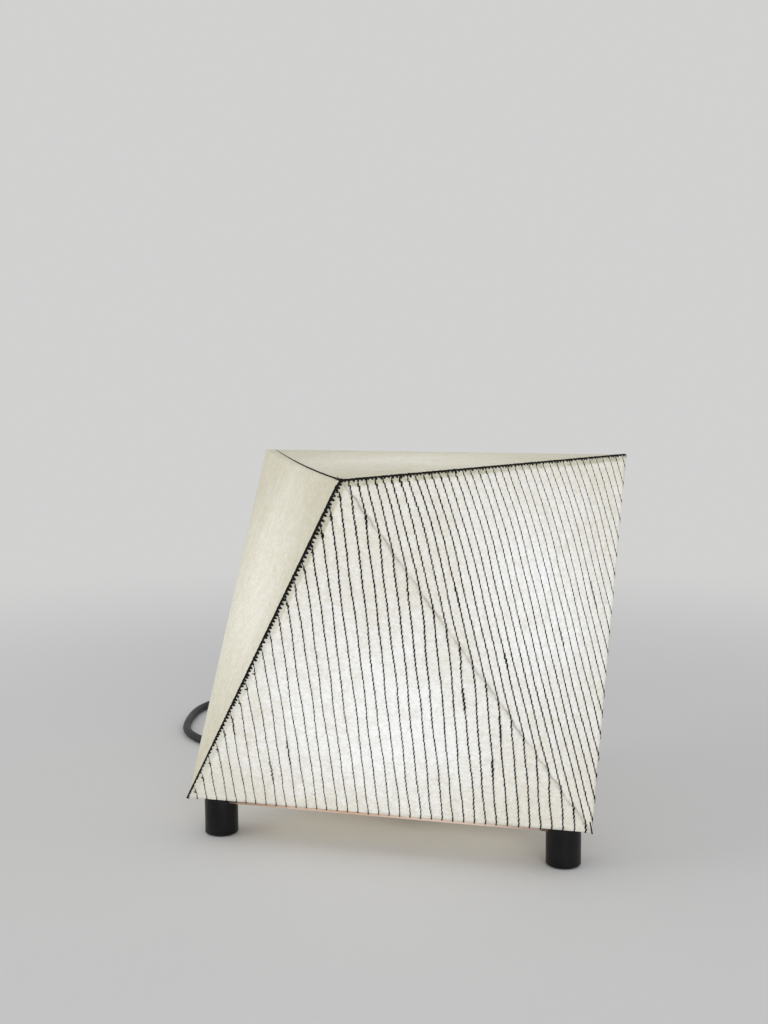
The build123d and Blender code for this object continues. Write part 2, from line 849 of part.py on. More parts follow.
coil_start = coil_spot(0) - Vector(cord_diameter, 0, 0)
coil_end = coil_spot(coil_turns) - Vector(cord_diameter, 0, 0)
quarters = [quarter / 4 for quarter in range(int(4 * coil_turns) + 1)]
with BuildPart() as cord_coil:
    with BuildLine() as coil_line:
        Line(coil_start, coil_spot(0))
        for begin, finish in zip(quarters, quarters[1:]):
            here, there = coil_spot(begin), coil_spot(finish)
            middle = arcs_meet(here, coil_way(begin), there, coil_way(finish))
            first_arc = TangentArc(here, middle, tangent=coil_way(begin))
            TangentArc(middle, there, tangent=first_arc % 1)
        Line(coil_spot(coil_turns), coil_end)
    with BuildSketch(Plane(origin=coil_start, z_dir=(1, 0, 0))) as coil_section:
        Circle(cord_radius)
    sweep(coil_section.sketch, path=coil_line.line)
coil_length = sum(edge.length for edge in coil_line.edges())
keep(cord_coil, "cord_coil")
print(f"cord_coil: {coil_length:.1f} long, least gap to itself {least_coil_gap():.2f}")
coil_section_volume = math.pi * cord_radius**2 * coil_length
print(f"cord_coil: volume {cord_coil.part.volume:.0f} of {coil_section_volume:.0f}")

# Tie round the bundle of turns, on the coil's right side
tie_turns = [turn + 0.25 for turn in range(math.floor(half_turns) + 1)]
tie_radii = [coil_spot(turn).X - coil_x for turn in tie_turns]
tie_sag = min(tie_radii) - math.sqrt(min(tie_radii) ** 2 - (tie_width / 2) ** 2)
tie_inner = min(tie_radii) - tie_sag - cord_radius - tie_gap
tie_outer = max(tie_radii) + cord_radius + tie_gap
tie_bottom = coil_height - cord_radius - tie_gap
tie_top = coil_height + coil_pitch + cord_radius + tie_gap
tie_middle = ((tie_inner + tie_outer) / 2, (tie_bottom + tie_top) / 2)
tie_plane = Plane(
    origin=(coil_x + tie_middle[0], coil_y, tie_middle[1]), x_dir=(1, 0, 0), z_dir=(0, -1, 0)
)
with BuildPart() as cord_tie:
    with BuildSketch(tie_plane):
        RectangleRounded(
            tie_outer - tie_inner + 2 * tie_thickness,
            tie_top - tie_bottom + 2 * tie_thickness,
            tie_corner_radius,
        )
        RectangleRounded(
            tie_outer - tie_inner,
            tie_top - tie_bottom,
            tie_corner_radius - tie_thickness,
            mode=Mode.SUBTRACT,
        )
    extrude(amount=tie_width / 2, both=True)
keep(cord_tie, "cord_tie")

# Cord from the switch to the coil
tail_bore_end = Vector(
    switch_x + switch_length / 2 - switch_cord_depth, switch_y, switch_half_height
)
tail_points = [
    tail_bore_end,
    tail_bore_end + Vector(cord_straight, 0, 0),
    Vector(-62, 293.4, 6.8),
    coil_start - Vector(cord_straight, 0, 0),
    coil_start,
]
with BuildPart() as switch_tail:
    tail_length = add_tube(tail_points, cord_diameter)
report_tube("switch_tail", tail_points, tail_length, switch_tail.part.volume)
keep(switch_tail, "switch_tail")

# Plug beside the coil, with the short lead to it
plug_axis_height = plug_thickness / 2 + table_gap
boot_tip = Vector(coil_end.X - plug_lead_length, coil_end.Y, plug_axis_height)
plug_points = [
    coil_end,
    coil_end - Vector(plug_straight, 0, 0),
    Vector(
        coil_end.X - plug_bend_reach,
        coil_end.Y + plug_bend_offset,
        (coil_end.Z + plug_axis_height) / 2,
    ),
    boot_tip + Vector(plug_straight, 0, 0),
    boot_tip,
]
with BuildPart() as plug_lead:
    plug_lead_run = add_tube(plug_points, cord_diameter)
report_tube("plug_lead", plug_points, plug_lead_run, plug_lead.part.volume)
keep(plug_lead, "plug_lead")

boot_root = Plane(origin=boot_tip - Vector(plug_boot_length, 0, 0), z_dir=(1, 0, 0))
with BuildPart() as plug_boot:
    add_taper(boot_root, plug_boot_root_diameter, plug_boot_tip_diameter, plug_boot_length)
keep(plug_boot, "plug_boot")

nose_plane = Plane(origin=boot_root.origin - Vector(plug_length, 0, 0), z_dir=(1, 0, 0))
pin_offsets = [(-plug_pin_spacing / 2, 0), (plug_pin_spacing / 2, 0)]
nose_section = Plane(origin=nose_plane.origin, x_dir=(0, 1, 0), z_dir=(1, 0, 0))
with BuildPart() as plug_body:
    with BuildSketch(nose_section):
        RectangleRounded(plug_width, plug_thickness, plug_edge_radius)
    with BuildSketch(nose_section.offset(plug_length)):
        RectangleRounded(plug_heel_width, plug_thickness, plug_edge_radius)
    loft()
    with BuildSketch(nose_section):
        with Locations(*pin_offsets):
            Circle(plug_pin_diameter / 2 + thread_gap)
    extrude(amount=plug_pin_seat, mode=Mode.SUBTRACT)
keep(plug_body, "plug_body")

with BuildPart() as plug_pins:
    with BuildSketch(nose_section.offset(plug_pin_seat)):
        with Locations(*pin_offsets):
            Circle(plug_pin_diameter / 2)
    extrude(amount=-plug_pin_seat - plug_pin_length)
    tips = plug_pins.faces().sort_by(Axis.X)[:2]
    fillet(tips.edges(), plug_pin_diameter / 4)
keep(plug_pins, "plug_pins")

through_switch = tail_bore_end.X - lead_bore_end.X
cord_length = lead_length + through_switch + tail_length + coil_length + plug_lead_run
print(f"cord from strain relief to plug boot: {cord_length:.0f}")
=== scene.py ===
import json
import math

import bpy
import numpy as np
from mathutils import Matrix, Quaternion, Vector


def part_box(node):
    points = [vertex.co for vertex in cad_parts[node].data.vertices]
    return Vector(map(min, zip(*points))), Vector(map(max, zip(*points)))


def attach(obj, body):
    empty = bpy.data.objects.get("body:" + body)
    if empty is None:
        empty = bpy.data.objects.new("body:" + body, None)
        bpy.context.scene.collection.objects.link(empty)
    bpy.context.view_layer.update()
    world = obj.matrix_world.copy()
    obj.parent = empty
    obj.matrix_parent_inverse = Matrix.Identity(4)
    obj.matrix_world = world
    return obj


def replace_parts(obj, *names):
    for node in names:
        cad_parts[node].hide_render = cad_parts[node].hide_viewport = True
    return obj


# Paper table lamp: two sewn paper sheets on a thin plywood base with three round feet.
# Metres, in the frame of the solids: +Z up, -Y the front, the table at z = 0.

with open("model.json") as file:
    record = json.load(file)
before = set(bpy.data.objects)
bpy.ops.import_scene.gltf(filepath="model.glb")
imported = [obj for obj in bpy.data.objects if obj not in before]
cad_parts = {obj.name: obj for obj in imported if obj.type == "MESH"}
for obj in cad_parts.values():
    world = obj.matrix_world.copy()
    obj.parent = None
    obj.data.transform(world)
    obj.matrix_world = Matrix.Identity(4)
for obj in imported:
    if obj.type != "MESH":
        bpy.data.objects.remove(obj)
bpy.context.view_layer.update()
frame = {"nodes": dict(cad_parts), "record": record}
nodes = frame["nodes"]
MM = 0.001
FULL_TURN = 2 * math.pi
rng = np.random.default_rng(seed=20)

# Camera, from the photograph's perspective
camera_place = (0.23377, -0.86922, 0.30019)
camera_way = (-0.27692, 0.95416, -0.11359)
camera_roll = -0.3241
camera_lens = 50.557
camera_sensor = 36.0

# Rows of stitching
row_spacing = 6.5 * MM
row_margins = {"seam": 0.6 * MM, "fold": 0.0, "hem": 0.2 * MM}
shortest_row = 1.5 * MM
row_wander = 0.35 * MM
wander_waves = (48, 131)
wander_fade = 12 * MM
stitch_length = 3.0 * MM
stitch_bites = np.array([0.04, 0.25, 0.5, 0.75, 0.96])
hole_scatter = 0.07 * stitch_length
stitch_jitter = 0.08 * MM
stitch_dip = -0.02 * MM
stitch_rise = 0.2 * MM
thread_radius = 0.44 * MM
thread_sides = 6
hair_radius = 0.07 * MM
fold_reach = 4 * MM
fuzzy_chance = 0.16
tie_chance = 0.7

# Where the rows are finer, bolder, or stray
fine_reach = 20 * MM
full_share = 0.78
fine_power = 2.4
bold_reach = (30 * MM, 150 * MM)
bold_weights = (1.1, 1.0)
bow_reach = 130 * MM
bend_reach = 50 * MM
bend_power = 1.6
bend_share = 1.6
drift_start = 60 * MM
drift_end = 35 * MM

# Overcast seams between the sheets
seam_allowance = 3.3 * MM
seam_radius = 0.62 * MM
seam_pitch = 2.8 * MM
seam_tooth = 1.15 * MM
seam_step = 0.9 * MM
seam_start = 0.6 * MM
first_tooth = 0.8 * MM
tooth_end = 3 * MM
tooth_radius = 0.46 * MM
back_radius = 0.42 * MM
seam_hair_radius = 0.06 * MM
clump_chance = 0.07

# Thin seam that closes the plain sheet on itself
closing_points = 420
closing_sag = 2.0 * MM
closing_width = 22 * MM
closing_shift = 7.0 * MM
closing_lift = 0.15 * MM
closing_tooth = 0.1 * MM
closing_radii = (0.56, 0.4, 0.1)

# Paper
paper_thickness = 0.8 * MM
quilt_height = 0.22 * MM
quilt_fade = 4 * MM
paper_wave = 0.5 * MM
wave_fade = 0.08
hem_width = 6.0 * MM
hem_corner_gap = 4.0 * MM
plain_steps = 64
stitched_steps = 56
row_columns = 4
crease_sway = 4 * MM
crease_soft = 2.0 * MM
crease_sharp = 0.8 * MM
band_sway = 1.6 * MM
band_heights = (130 * MM, 200 * MM)
lower_edge_shade = 40 * MM

# Light of the bulb in the paper
glow_back = 2 * MM
glow_drop = 19 * MM
glow_range = (0.3, 1.15)

# Painted shadow of the feet on the plywood
foot_cover = (13 * MM, 18 * MM)
foot_shade = 48 * MM

# Corners of the shade, from the plain sheet's box
sheet_low, sheet_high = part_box("plain_shade")
edge_length = sheet_high.x - sheet_low.x
corner_reach = (sheet_high.y - sheet_low.y) / 2
shade_middle = np.array([0, 0, (sheet_low.z + sheet_high.z) / 2])


def corner(angle, height):
    """Corner of the shade at an angle from +X."""
    turn = math.radians(angle)
    return np.array([corner_reach * math.cos(turn), corner_reach * math.sin(turn), height])


base_left, base_right, base_rear = (corner(angle, sheet_low.z) for angle in (210, 330, 90))
top_front, top_right, top_left = (corner(angle, sheet_high.z) for angle in (270, 30, 150))
face_reach = edge_length / math.sqrt(6)
bulb_low, bulb_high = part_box("bulb_globe")
globe_radius = (bulb_high.x - bulb_low.x) / 2
glow_centre = (0, glow_back, bulb_high.z - globe_radius - glow_drop)


def unit(vector):
    """Vector of length 1."""
    return vector / np.linalg.norm(vector)


def outward(a, b, c):
    """Normal of a face of the shade, pointing out."""
    normal = unit(np.cross(b - a, c - a))
    return normal if normal @ (a - shade_middle) > 0 else -normal


def tinted(colour, shares):
    """Colour with a share of each of its channels."""
    return [value * share for value, share in zip(colour, shares)]


# Materials


class Shader:
    """A node material on a principled surface, patterned by the place on the object."""

    def __init__(self, name, **values):
        self.material = bpy.data.materials.new(name)
        self.material.use_nodes = True
        self.tree = self.material.node_tree
        self.surface = self.tree.nodes["Principled BSDF"]
        self.place = self.node("ShaderNodeTexCoord").outputs["Object"]
        for socket, value in values.items():
            self.surface.inputs[socket.replace("_", " ")].default_value = value

    def node(self, kind, inputs=(), **settings):
        """New node, with settings, and inputs given as values or as sockets to link."""
        made = self.tree.nodes.new(kind)
        for name, value in settings.items():
            setattr(made, name, value)
        for key, value in dict(inputs).items():
            if isinstance(value, bpy.types.NodeSocket):
                self.tree.links.new(value, made.inputs[key])
            else:
                made.inputs[key].default_value = value
        return made

    def set(self, socket, value):
        """Link a pattern to the surface."""
        self.tree.links.new(value, self.surface.inputs[socket])

    def stretched(self, scale, turn=(0, 0, 0)):
        """Place on the object, scaled and turned."""
        inputs = {"Vector": self.place, "Scale": scale, "Rotation": [math.radians(a) for a in turn]}
        return self.node("ShaderNodeMapping", inputs).outputs["Vector"]

    def height(self):
        """Height of the place above the table."""
        return self.node("ShaderNodeSeparateXYZ", {0: self.place}).outputs["Z"]

    def distance(self, point):
        """Distance of the place from a point."""
        inputs = {0: self.place, 1: point}
        return self.node("ShaderNodeVectorMath", inputs, operation="DISTANCE").outputs["Value"]

    def plane_distance(self, point, normal, pattern, sway):
        """Distance of the place from a plane, which sways to both sides by a pattern."""
        inputs = {0: self.place, 1: tuple(normal)}
        along = self.node("ShaderNodeVectorMath", inputs, operation="DOT_PRODUCT").outputs["Value"]
        away = self.math("SUBTRACT", along, float(np.dot(point, normal)))
        swayed = self.math("MULTIPLY", self.math("SUBTRACT", pattern, 0.5), sway)
        return self.math("ABSOLUTE", self.math("ADD", away, swayed))

    def noise(self, scale, detail=4.0, roughness=0.55, where=None, distortion=0.0):
        """Cloudy pattern; scale counts its features a metre."""
        inputs = {
            "Vector": where or self.place,
            "Scale": scale,
            "Detail": detail,
            "Roughness": roughness,
            "Distortion": distortion,
        }
        return self.node("ShaderNodeTexNoise", inputs).outputs["Fac"]

    def cell_edges(self, where):
        """Distance from the edges between scattered cells."""
        inputs = {"Vector": where, "Scale": 1.0}
        made = self.node("ShaderNodeTexVoronoi", inputs, feature="DISTANCE_TO_EDGE")
        return made.outputs["Distance"]

    def math(self, operation, first, second=0.5):
        """One sum on two patterns or numbers."""
        return self.node("ShaderNodeMath", {0: first, 1: second}, operation=operation).outputs[0]

    def weighted(self, *parts):
        """Patterns added up, each times its share."""
        shares = [self.math("MULTIPLY", pattern, share) for pattern, share in parts]
        total = shares[0]
        for share in shares[1:]:
            total = self.math("ADD", total, share)
        return total

    def between(self, value, low, high, start=0.0, end=1.0, smooth=False):
        """Pattern spread from one range to another, held at its ends."""
        inputs = {
            "Value": value,
            "From Min": low,
            "From Max": high,
            "To Min": start,
            "To Max": end,
        }
        kind = "SMOOTHSTEP" if smooth else "LINEAR"
        return self.node("ShaderNodeMapRange", inputs, interpolation_type=kind).outputs["Result"]

    def ramp(self, value, *stops):
        """Colour from a pattern, by stops of (place, colour)."""
        made = self.node("ShaderNodeValToRGB", {"Fac": value})
        marks = made.color_ramp.elements
        while len(marks) < len(stops):
            marks.new(0.5)
        for mark, (place, colour) in zip(marks, stops):
            mark.position = place
            mark.color = (*colour, 1)
        return made.outputs["Color"]

    def mix(self, share, first, second):
        """Two colours, mixed by a pattern."""
        made = self.node("ShaderNodeMix", data_type="RGBA")
        for index, value in ((0, share), (6, first), (7, second)):
            if isinstance(value, bpy.types.NodeSocket):
                self.tree.links.new(value, made.inputs[index])
            else:
                made.inputs[index].default_value = value if index == 0 else (*value, 1)
        return made.outputs[2]

    def bump(self, height, strength, depth):
        """Relief from a pattern, with its depth in metres."""
        inputs = {"Height": height, "Strength": strength, "Distance": depth}
        self.set("Normal", self.node("ShaderNodeBump", inputs).outputs["Normal"])


def paper(name, pale, cream, glow, far_share, mottle, strand_share, laid_share, creases=(), band=None):
    """Fibrous paper that lets the bulb's light through: brighter where it is near the bulb."""
    shade = Shader(name, Roughness=0.88, Specular_IOR_Level=0.2)
    clouds = shade.noise(26, 5, 0.6)
    blots = shade.noise(130, 3, 0.6, distortion=0.4)
    pulp = shade.noise(420, 5, 0.66, distortion=0.6)
    fine = shade.noise(900, 2, 0.6)
    laid = shade.noise(1.0, 5, 0.6, where=shade.stretched((90, 90, 900)))
    strands = shade.cell_edges(shade.stretched((60, 420, 150), (24, 38, 61)))
    fibre = shade.between(strands, 0.0, 0.05, 1.0, 0.0)
    near = shade.math("POWER", shade.math("DIVIDE", face_reach, shade.distance(glow_centre)), 2.0)
    near = shade.between(near, *glow_range, smooth=True)
    height = shade.height()

    # Colour: pale pulp in cream clouds, with painted light that makes it paler near the bulb and painted
    # shade that makes it creamier at the lower edge
    blend = shade.weighted((clouds, 0.35), (blots, 0.35), (pulp, 0.3))
    blend = shade.between(blend, 0.0, 1.0, 0.5 - 0.5 * mottle, 0.5 + 0.5 * mottle)
    blend = shade.math("ADD", blend, shade.between(near, 0.0, 1.0, -0.08, 0.08))
    lower = shade.between(height, sheet_low.z, sheet_low.z + lower_edge_shade, -0.07, 0.0)
    blend = shade.math("ADD", blend, lower)
    halfway = [(a + b) / 2 for a, b in zip(pale, cream)]
    colour = shade.ramp(blend, (0.4, cream), (0.5, halfway), (0.6, pale))
    speck = shade.between(pulp, 0.4, 0.62, 0.0, 0.5 * mottle)
    colour = shade.mix(speck, colour, (0.54, 0.545, 0.525))
    strand = shade.math("MULTIPLY", fibre, strand_share)
    colour = shade.mix(strand, colour, tinted(cream, (0.86, 0.85, 0.7)))

    # Light: most near the bulb, uneven with the clouds and the grain
    light = shade.between(near, 0.0, 1.0, far_share * glow, glow)
    light = shade.math("MULTIPLY", light, shade.between(blend, 0.35, 0.65, 0.8, 1.2))
    grain = shade.weighted(
        (fine, 0.35 - 0.4 * laid_share), (pulp, 0.65 - 0.6 * laid_share), (laid, laid_share)
    )
    swing = 0.48 * mottle
    light = shade.math("MULTIPLY", light, shade.between(grain, 0.42, 0.58, 1 - swing, 1 + swing))

    # Painted shade where the seam allowance doubles the paper: a darker olive colour and less light, in
    # patches along the seam, stronger high up
    if band:
        edge = shade.plane_distance(*band, blots, band_sway)
        doubled = shade.between(edge, 0.7 * seam_allowance, 1.1 * seam_allowance, 1.0, 0.0)
        doubled = shade.math("MULTIPLY", doubled, shade.between(blots, 0.35, 0.6, 0.4, 1.0))
        doubled = shade.math("MULTIPLY", doubled, shade.between(height, *band_heights, 0.4, 1.0))
        doubled_shade_colour = tinted(pale, (0.58, 0.56, 0.37))
        colour = shade.mix(shade.math("MULTIPLY", doubled, 0.9), colour, doubled_shade_colour)
        light = shade.math("MULTIPLY", light, shade.between(doubled, 0.0, 1.0, 1.0, 0.55))
    # Painted shade along the folds: a soft, patchy darker line, in both the colour and the light
    if creases:
        patches = shade.between(shade.noise(70, 2, 0.5), 0.35, 0.55, 0.4, 1.0)
        wear_and_crease_shade = 0.0
        for point, normal, strength in creases:
            edge = shade.plane_distance(point, normal, blots, crease_sway)
            soft = shade.between(edge, 0.0, crease_soft, 0.5 * strength, 0.0)
            sharp = shade.between(edge, 0.0, crease_sharp, 0.55 * strength, 0.0)
            uneven = shade.math("MULTIPLY", shade.math("ADD", soft, sharp), patches)
            colour = shade.mix(uneven, colour, (0.36, 0.335, 0.28))
            wear_and_crease_shade = shade.math("MAXIMUM", uneven, wear_and_crease_shade)
        light = shade.math("MULTIPLY", light, shade.between(wear_and_crease_shade, 0.0, 1.0, 1.0, 0.35))

    shade.set("Base Color", colour)
    shade.set("Emission Color", shade.mix(0.5, colour, (1.0, 1.0, 1.0)))
    shade.set("Emission Strength", light)
    shade.bump(shade.weighted((pulp, 1.0), (fibre, strand_share), (laid, 0.5)), 0.55, 0.2 * MM)
    return shade.material


def thread():
    """Black sewing thread, slightly faded on its crests."""
    shade = Shader("black_thread", Roughness=0.85, Specular_IOR_Level=0.15)
    fuzz = shade.noise(2600, 3, 0.6)
    faded = shade.ramp(fuzz, (0.3, (0.004, 0.004, 0.004)), (0.75, (0.02, 0.019, 0.017)))
    shade.set("Base Color", faded)
    shade.bump(fuzz, 0.6, 0.08 * MM)
    return shade.material


def feet_shadow(shade):
    """Painted shadow of the feet: a pattern that is 1 over the feet, and fades to 0 beside them."""
    away = []
    for name in ("front_left_foot", "front_right_foot", "rear_foot"):
        low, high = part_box(name)
        away.append(shade.distance(((low.x + high.x) / 2, (low.y + high.y) / 2, high.z)))
    nearest = shade.math("MINIMUM", shade.math("MINIMUM", away[0], away[1]), away[2])
    over = shade.between(nearest, *foot_cover, 1.0, 0.0)
    return shade.math("MAXIMUM", over, shade.between(nearest, foot_cover[1], foot_shade, 0.5, 0.0))


def plywood():
    """Thin birch plywood: long grain on its faces, plies and uneven stains on its edge, and a painted
    shadow of the feet on the edge.
    """
    shade = Shader("plywood", Roughness=0.5, Specular_IOR_Level=0.35)
    grain = shade.noise(1.0, 6, 0.6, where=shade.stretched((12, 260, 260)), distortion=0.8)
    pores = shade.noise(1.0, 3, 0.7, where=shade.stretched((60, 1900, 1900)))
    face = shade.ramp(
        grain, (0.3, (0.50, 0.34, 0.19)), (0.5, (0.66, 0.48, 0.29)), (0.7, (0.74, 0.57, 0.37))
    )
    face = shade.mix(shade.between(pores, 0.58, 0.75, 0.0, 0.4), face, (0.34, 0.21, 0.11))
    low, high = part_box("base_plate")
    edge = shade.ramp(
        shade.between(shade.height(), low.z, high.z),
        (0.0, (0.72, 0.50, 0.37)),
        (0.36, (0.66, 0.44, 0.31)),
        (0.5, (0.50, 0.31, 0.20)),
        (0.64, (0.66, 0.44, 0.31)),
        (1.0, (0.74, 0.53, 0.40)),
    )
    stain = shade.between(shade.noise(16, 2, 0.5), 0.4, 0.6, 0.1, 0.9)
    edge = shade.mix(stain, edge, (0.80, 0.64, 0.55))
    # Painted shadow of the feet, darkening the edge over and beside them
    edge = shade.mix(feet_shadow(shade), edge, (0.12, 0.08, 0.055))
    normal = shade.node("ShaderNodeNewGeometry").outputs["Normal"]
    upright = shade.math("ABSOLUTE", shade.node("ShaderNodeSeparateXYZ", {0: normal}).outputs["Z"])
    shade.set("Base Color", shade.mix(shade.between(upright, 0.4, 0.6), edge, face))
    shade.bump(shade.math("ADD", grain, pores), 0.25, 0.15 * MM)
    return shade.material


def moulded(name, dark, light, roughness, grain=900.0, depth=0.03, specular=0.3):
    """Moulded plastic or rubber: a fine even texture, with faint wear."""
    shade = Shader(name, Specular_IOR_Level=specular)
    fine = shade.noise(grain, 3, 0.5)
    wear_and_crease_shade = shade.noise(45, 5, 0.6)
    shade.set("Base Color", shade.ramp(wear_and_crease_shade, (0.35, dark), (0.7, light)))
    shade.set("Roughness", shade.between(wear_and_crease_shade, 0.3, 0.7, roughness - 0.08, roughness + 0.1))
    shade.bump(fine, 0.35, depth * MM)
    return shade.material


def metal(name, dark, light, roughness):
    """Turned or rolled metal with fine lines and stains."""
    shade = Shader(name, Metallic=1.0)
    lines = shade.noise(1.0, 4, 0.6, where=shade.stretched((40, 40, 2500)))
    stain = shade.noise(160, 5, 0.6)
    shade.set("Base Color", shade.ramp(stain, (0.3, dark), (0.7, light)))
    shade.set("Roughness", shade.between(lines, 0.3, 0.7, roughness - 0.1, roughness + 0.12))
    shade.bump(lines, 0.25, 0.04 * MM)
    return shade.material


def felt():
    """Pressed black felt."""
    shade = Shader("black_felt", Roughness=0.95, Sheen_Weight=0.4)
    hairs = shade.noise(1500, 5, 0.75)
    pressed = shade.ramp(hairs, (0.3, (0.012, 0.012, 0.012)), (0.75, (0.06, 0.058, 0.055)))
    shade.set("Base Color", pressed)
    shade.bump(hairs, 0.9, 0.2 * MM)
    return shade.material


def opal():
    """Opal globe of the lit bulb: a little brighter over its crown."""
    shade = Shader("opal_glass", Roughness=0.3, Coat_Weight=0.3)
    cloud = shade.noise(120, 3, 0.5)
    white = shade.ramp(cloud, (0.3, (0.86, 0.83, 0.76)), (0.7, (0.92, 0.9, 0.86)))
    lit = shade.ramp(cloud, (0.3, (1.0, 0.93, 0.80)), (0.7, (1.0, 0.95, 0.86)))
    shade.set("Base Color", white)
    shade.set("Emission Color", lit)
    strength = shade.between(shade.height(), bulb_low.z, bulb_high.z, 1.1, 1.6)
    shade.set("Emission Strength", strength)
    shade.bump(cloud, 0.05, 0.05 * MM)
    return shade.material


seam_normal = unit(np.cross(top_right - top_front, base_left - top_front))
front_fold, rear_fold = (
    unit(np.cross(end - shade_middle, base_right - shade_middle)) for end in (top_front, top_right)
)
materials = {
    "plain_paper": paper(
        "plain_paper",
        pale=(0.70, 0.675, 0.57),
        cream=(0.60, 0.555, 0.39),
        glow=0.372,
        far_share=0.52,
        mottle=0.5,
        strand_share=0.04,
        laid_share=0.06,
    ),
    "stitched_paper": paper(
        "stitched_paper",
        pale=(0.74, 0.745, 0.745),
        cream=(0.675, 0.64, 0.545),
        glow=0.328,
        far_share=0.78,
        mottle=0.7,
        strand_share=0.12,
        laid_share=0.2,
        creases=[(base_right, front_fold, 0.9), (base_right, rear_fold, 0.5)],
        band=(top_front, seam_normal),
    ),
    "black_thread": thread(),
    "plywood": plywood(),
    "black_foot": moulded(
        "black_foot", (0.004, 0.004, 0.0045), (0.01, 0.01, 0.011), 0.34, 700, 0.02, 0.2
    ),
    "black_felt": felt(),
    "zinc_steel": metal("zinc_steel", (0.48, 0.48, 0.46), (0.66, 0.66, 0.64), 0.34),
    "holder_plastic": moulded("holder_plastic", (0.012, 0.012, 0.013), (0.028, 0.028, 0.03), 0.36),
    "holder_ceramic": moulded("holder_ceramic", (0.68, 0.65, 0.6), (0.8, 0.78, 0.73), 0.6, 600, 0.05),
    "plated_brass": metal("plated_brass", (0.62, 0.55, 0.4), (0.78, 0.72, 0.58), 0.28),
    "wire_insulation": moulded("wire_insulation", (0.05, 0.09, 0.25), (0.09, 0.14, 0.34), 0.45),
    "bulb_insulator": moulded("bulb_insulator", (0.015, 0.015, 0.018), (0.04, 0.04, 0.045), 0.3),
    "bulb_metal": metal("bulb_metal", (0.6, 0.6, 0.6), (0.76, 0.76, 0.75), 0.32),
    "bulb_plastic": moulded("bulb_plastic", (0.74, 0.74, 0.72), (0.82, 0.82, 0.8), 0.38),
    "opal_glass": opal(),
    "cord_rubber": moulded(
        "cord_rubber", (0.012, 0.012, 0.013), (0.026, 0.026, 0.028), 0.5, 1400, 0.04
    ),
    "switch_plastic": moulded(
        "switch_plastic", (0.012, 0.012, 0.013), (0.028, 0.028, 0.03), 0.42, 1200
    ),
    "rocker_plastic": moulded("rocker_plastic", (0.03, 0.03, 0.032), (0.05, 0.05, 0.053), 0.26, 800),
    "tie_plastic": moulded("tie_plastic", (0.02, 0.02, 0.02), (0.045, 0.045, 0.045), 0.7, 1100, 0.1),
    "plug_plastic": moulded(
        "plug_plastic", (0.014, 0.014, 0.015), (0.032, 0.032, 0.034), 0.5, 1300, 0.04
    ),
}
for subpart in frame["record"]["subparts"]:
    solid = nodes[subpart["node"]].data
    solid.materials.clear()
    solid.materials.append(materials[subpart["material_slot"]])


# Meshes


def add_piece(name, points, faces, slot, stands_for, sharp=180.0):
    """New smooth mesh piece that rides on the lamp and stands for solids."""
    mesh = bpy.data.meshes.new(name)
    mesh.from_pydata(np.asarray(points).tolist(), [], faces)
    mesh.validate()
    mesh.polygons.foreach_set("use_smooth", [True] * len(mesh.polygons))
    mesh.set_sharp_from_angle(angle=math.radians(sharp))
    mesh.materials.append(materials[slot])
    piece = bpy.data.objects.new(name, mesh)
    bpy.context.scene.collection.objects.link(piece)
    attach(piece, "lamp")
    if stands_for:
        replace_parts(piece, *stands_for)


class Threads:
    """Many round threads, gathered into one mesh."""

    def __init__(self):
        self.points = []
        self.faces = []
        self.count = 0

    def add(self, path, radii, up):
        """Thread along a path; up is roughly square to it."""
        path = np.asarray(path, float)
        radii = np.broadcast_to(np.asarray(radii, float), len(path))
        ways = np.gradient(path, axis=0)
        ways /= np.linalg.norm(ways, axis=1)[:, None]
        sideways = np.cross(ways, up)
        sideways /= np.linalg.norm(sideways, axis=1)[:, None]
        upward = np.cross(sideways, ways)
        angles = np.arange(thread_sides) * FULL_TURN / thread_sides
        ring = np.cos(angles)[None, :, None] * sideways[:, None]
        ring = ring + np.sin(angles)[None, :, None] * upward[:, None]
        self.points.append((path[:, None] + ring * radii[:, None, None]).reshape(-1, 3))
        first = self.count + np.arange(len(path) - 1)[:, None] * thread_sides
        near, far = first, first + thread_sides
        here = np.arange(thread_sides)[None]
        after = (here + 1) % thread_sides
        quads = np.stack([near + here, near + after, far + after, far + here], axis=-1)
        self.faces += quads.reshape(-1, 4).tolist()
        last = self.count + (len(path) - 1) * thread_sides
        self.faces.append([self.count + side for side in reversed(range(thread_sides))])
        self.faces.append([last + side for side in range(thread_sides)])
        self.count += len(path) * thread_sides

    def piece(self, name, stands_for):
        """The threads as one piece."""
        add_piece(name, np.concatenate(self.points), self.faces, "black_thread", stands_for)


def welded(points, quads):
    """Points that coincide become one, and quads that lose a corner become triangles."""
    _, first, same = np.unique(np.round(points, 6), axis=0, return_index=True, return_inverse=True)
    faces = []
    for quad in same.reshape(-1)[quads].tolist():
        face = list(dict.fromkeys(quad))
        if len(face) > 2:
            faces.append(face)
    return points[first], faces


def grid_quads(rows, columns, start):
    """Quads of a grid of points that starts at an index."""
    first = start + np.arange(rows - 1)[:, None] * columns + np.arange(columns - 1)[None]
    return np.stack([first, first + 1, first + columns + 1, first + columns], axis=-1).reshape(-1, 4)


def hem(start, end):
    """Strip of paper turned in along a lower edge, as eight points and six faces."""
    way = unit(end - start)
    inward = np.cross((0, 0, 1), way)
    outer = edge_length / 2 - hem_corner_gap
    inner = outer - hem_width * math.sqrt(3)
    lift = np.array([0, 0, paper_thickness])
    centre = (start + end) / 2 + inward * paper_thickness
    flat = [
        centre - way * outer,
        centre + way * outer,
        centre + way * inner + inward * hem_width,
        centre - way * inner + inward * hem_width,
    ]
    faces = [[3, 2, 1, 0], [4, 5, 6, 7], [0, 1, 5, 4], [1, 2, 6, 5], [2, 3, 7, 6], [3, 0, 4, 7]]
    return np.array(flat + [point + lift for point in flat]), faces


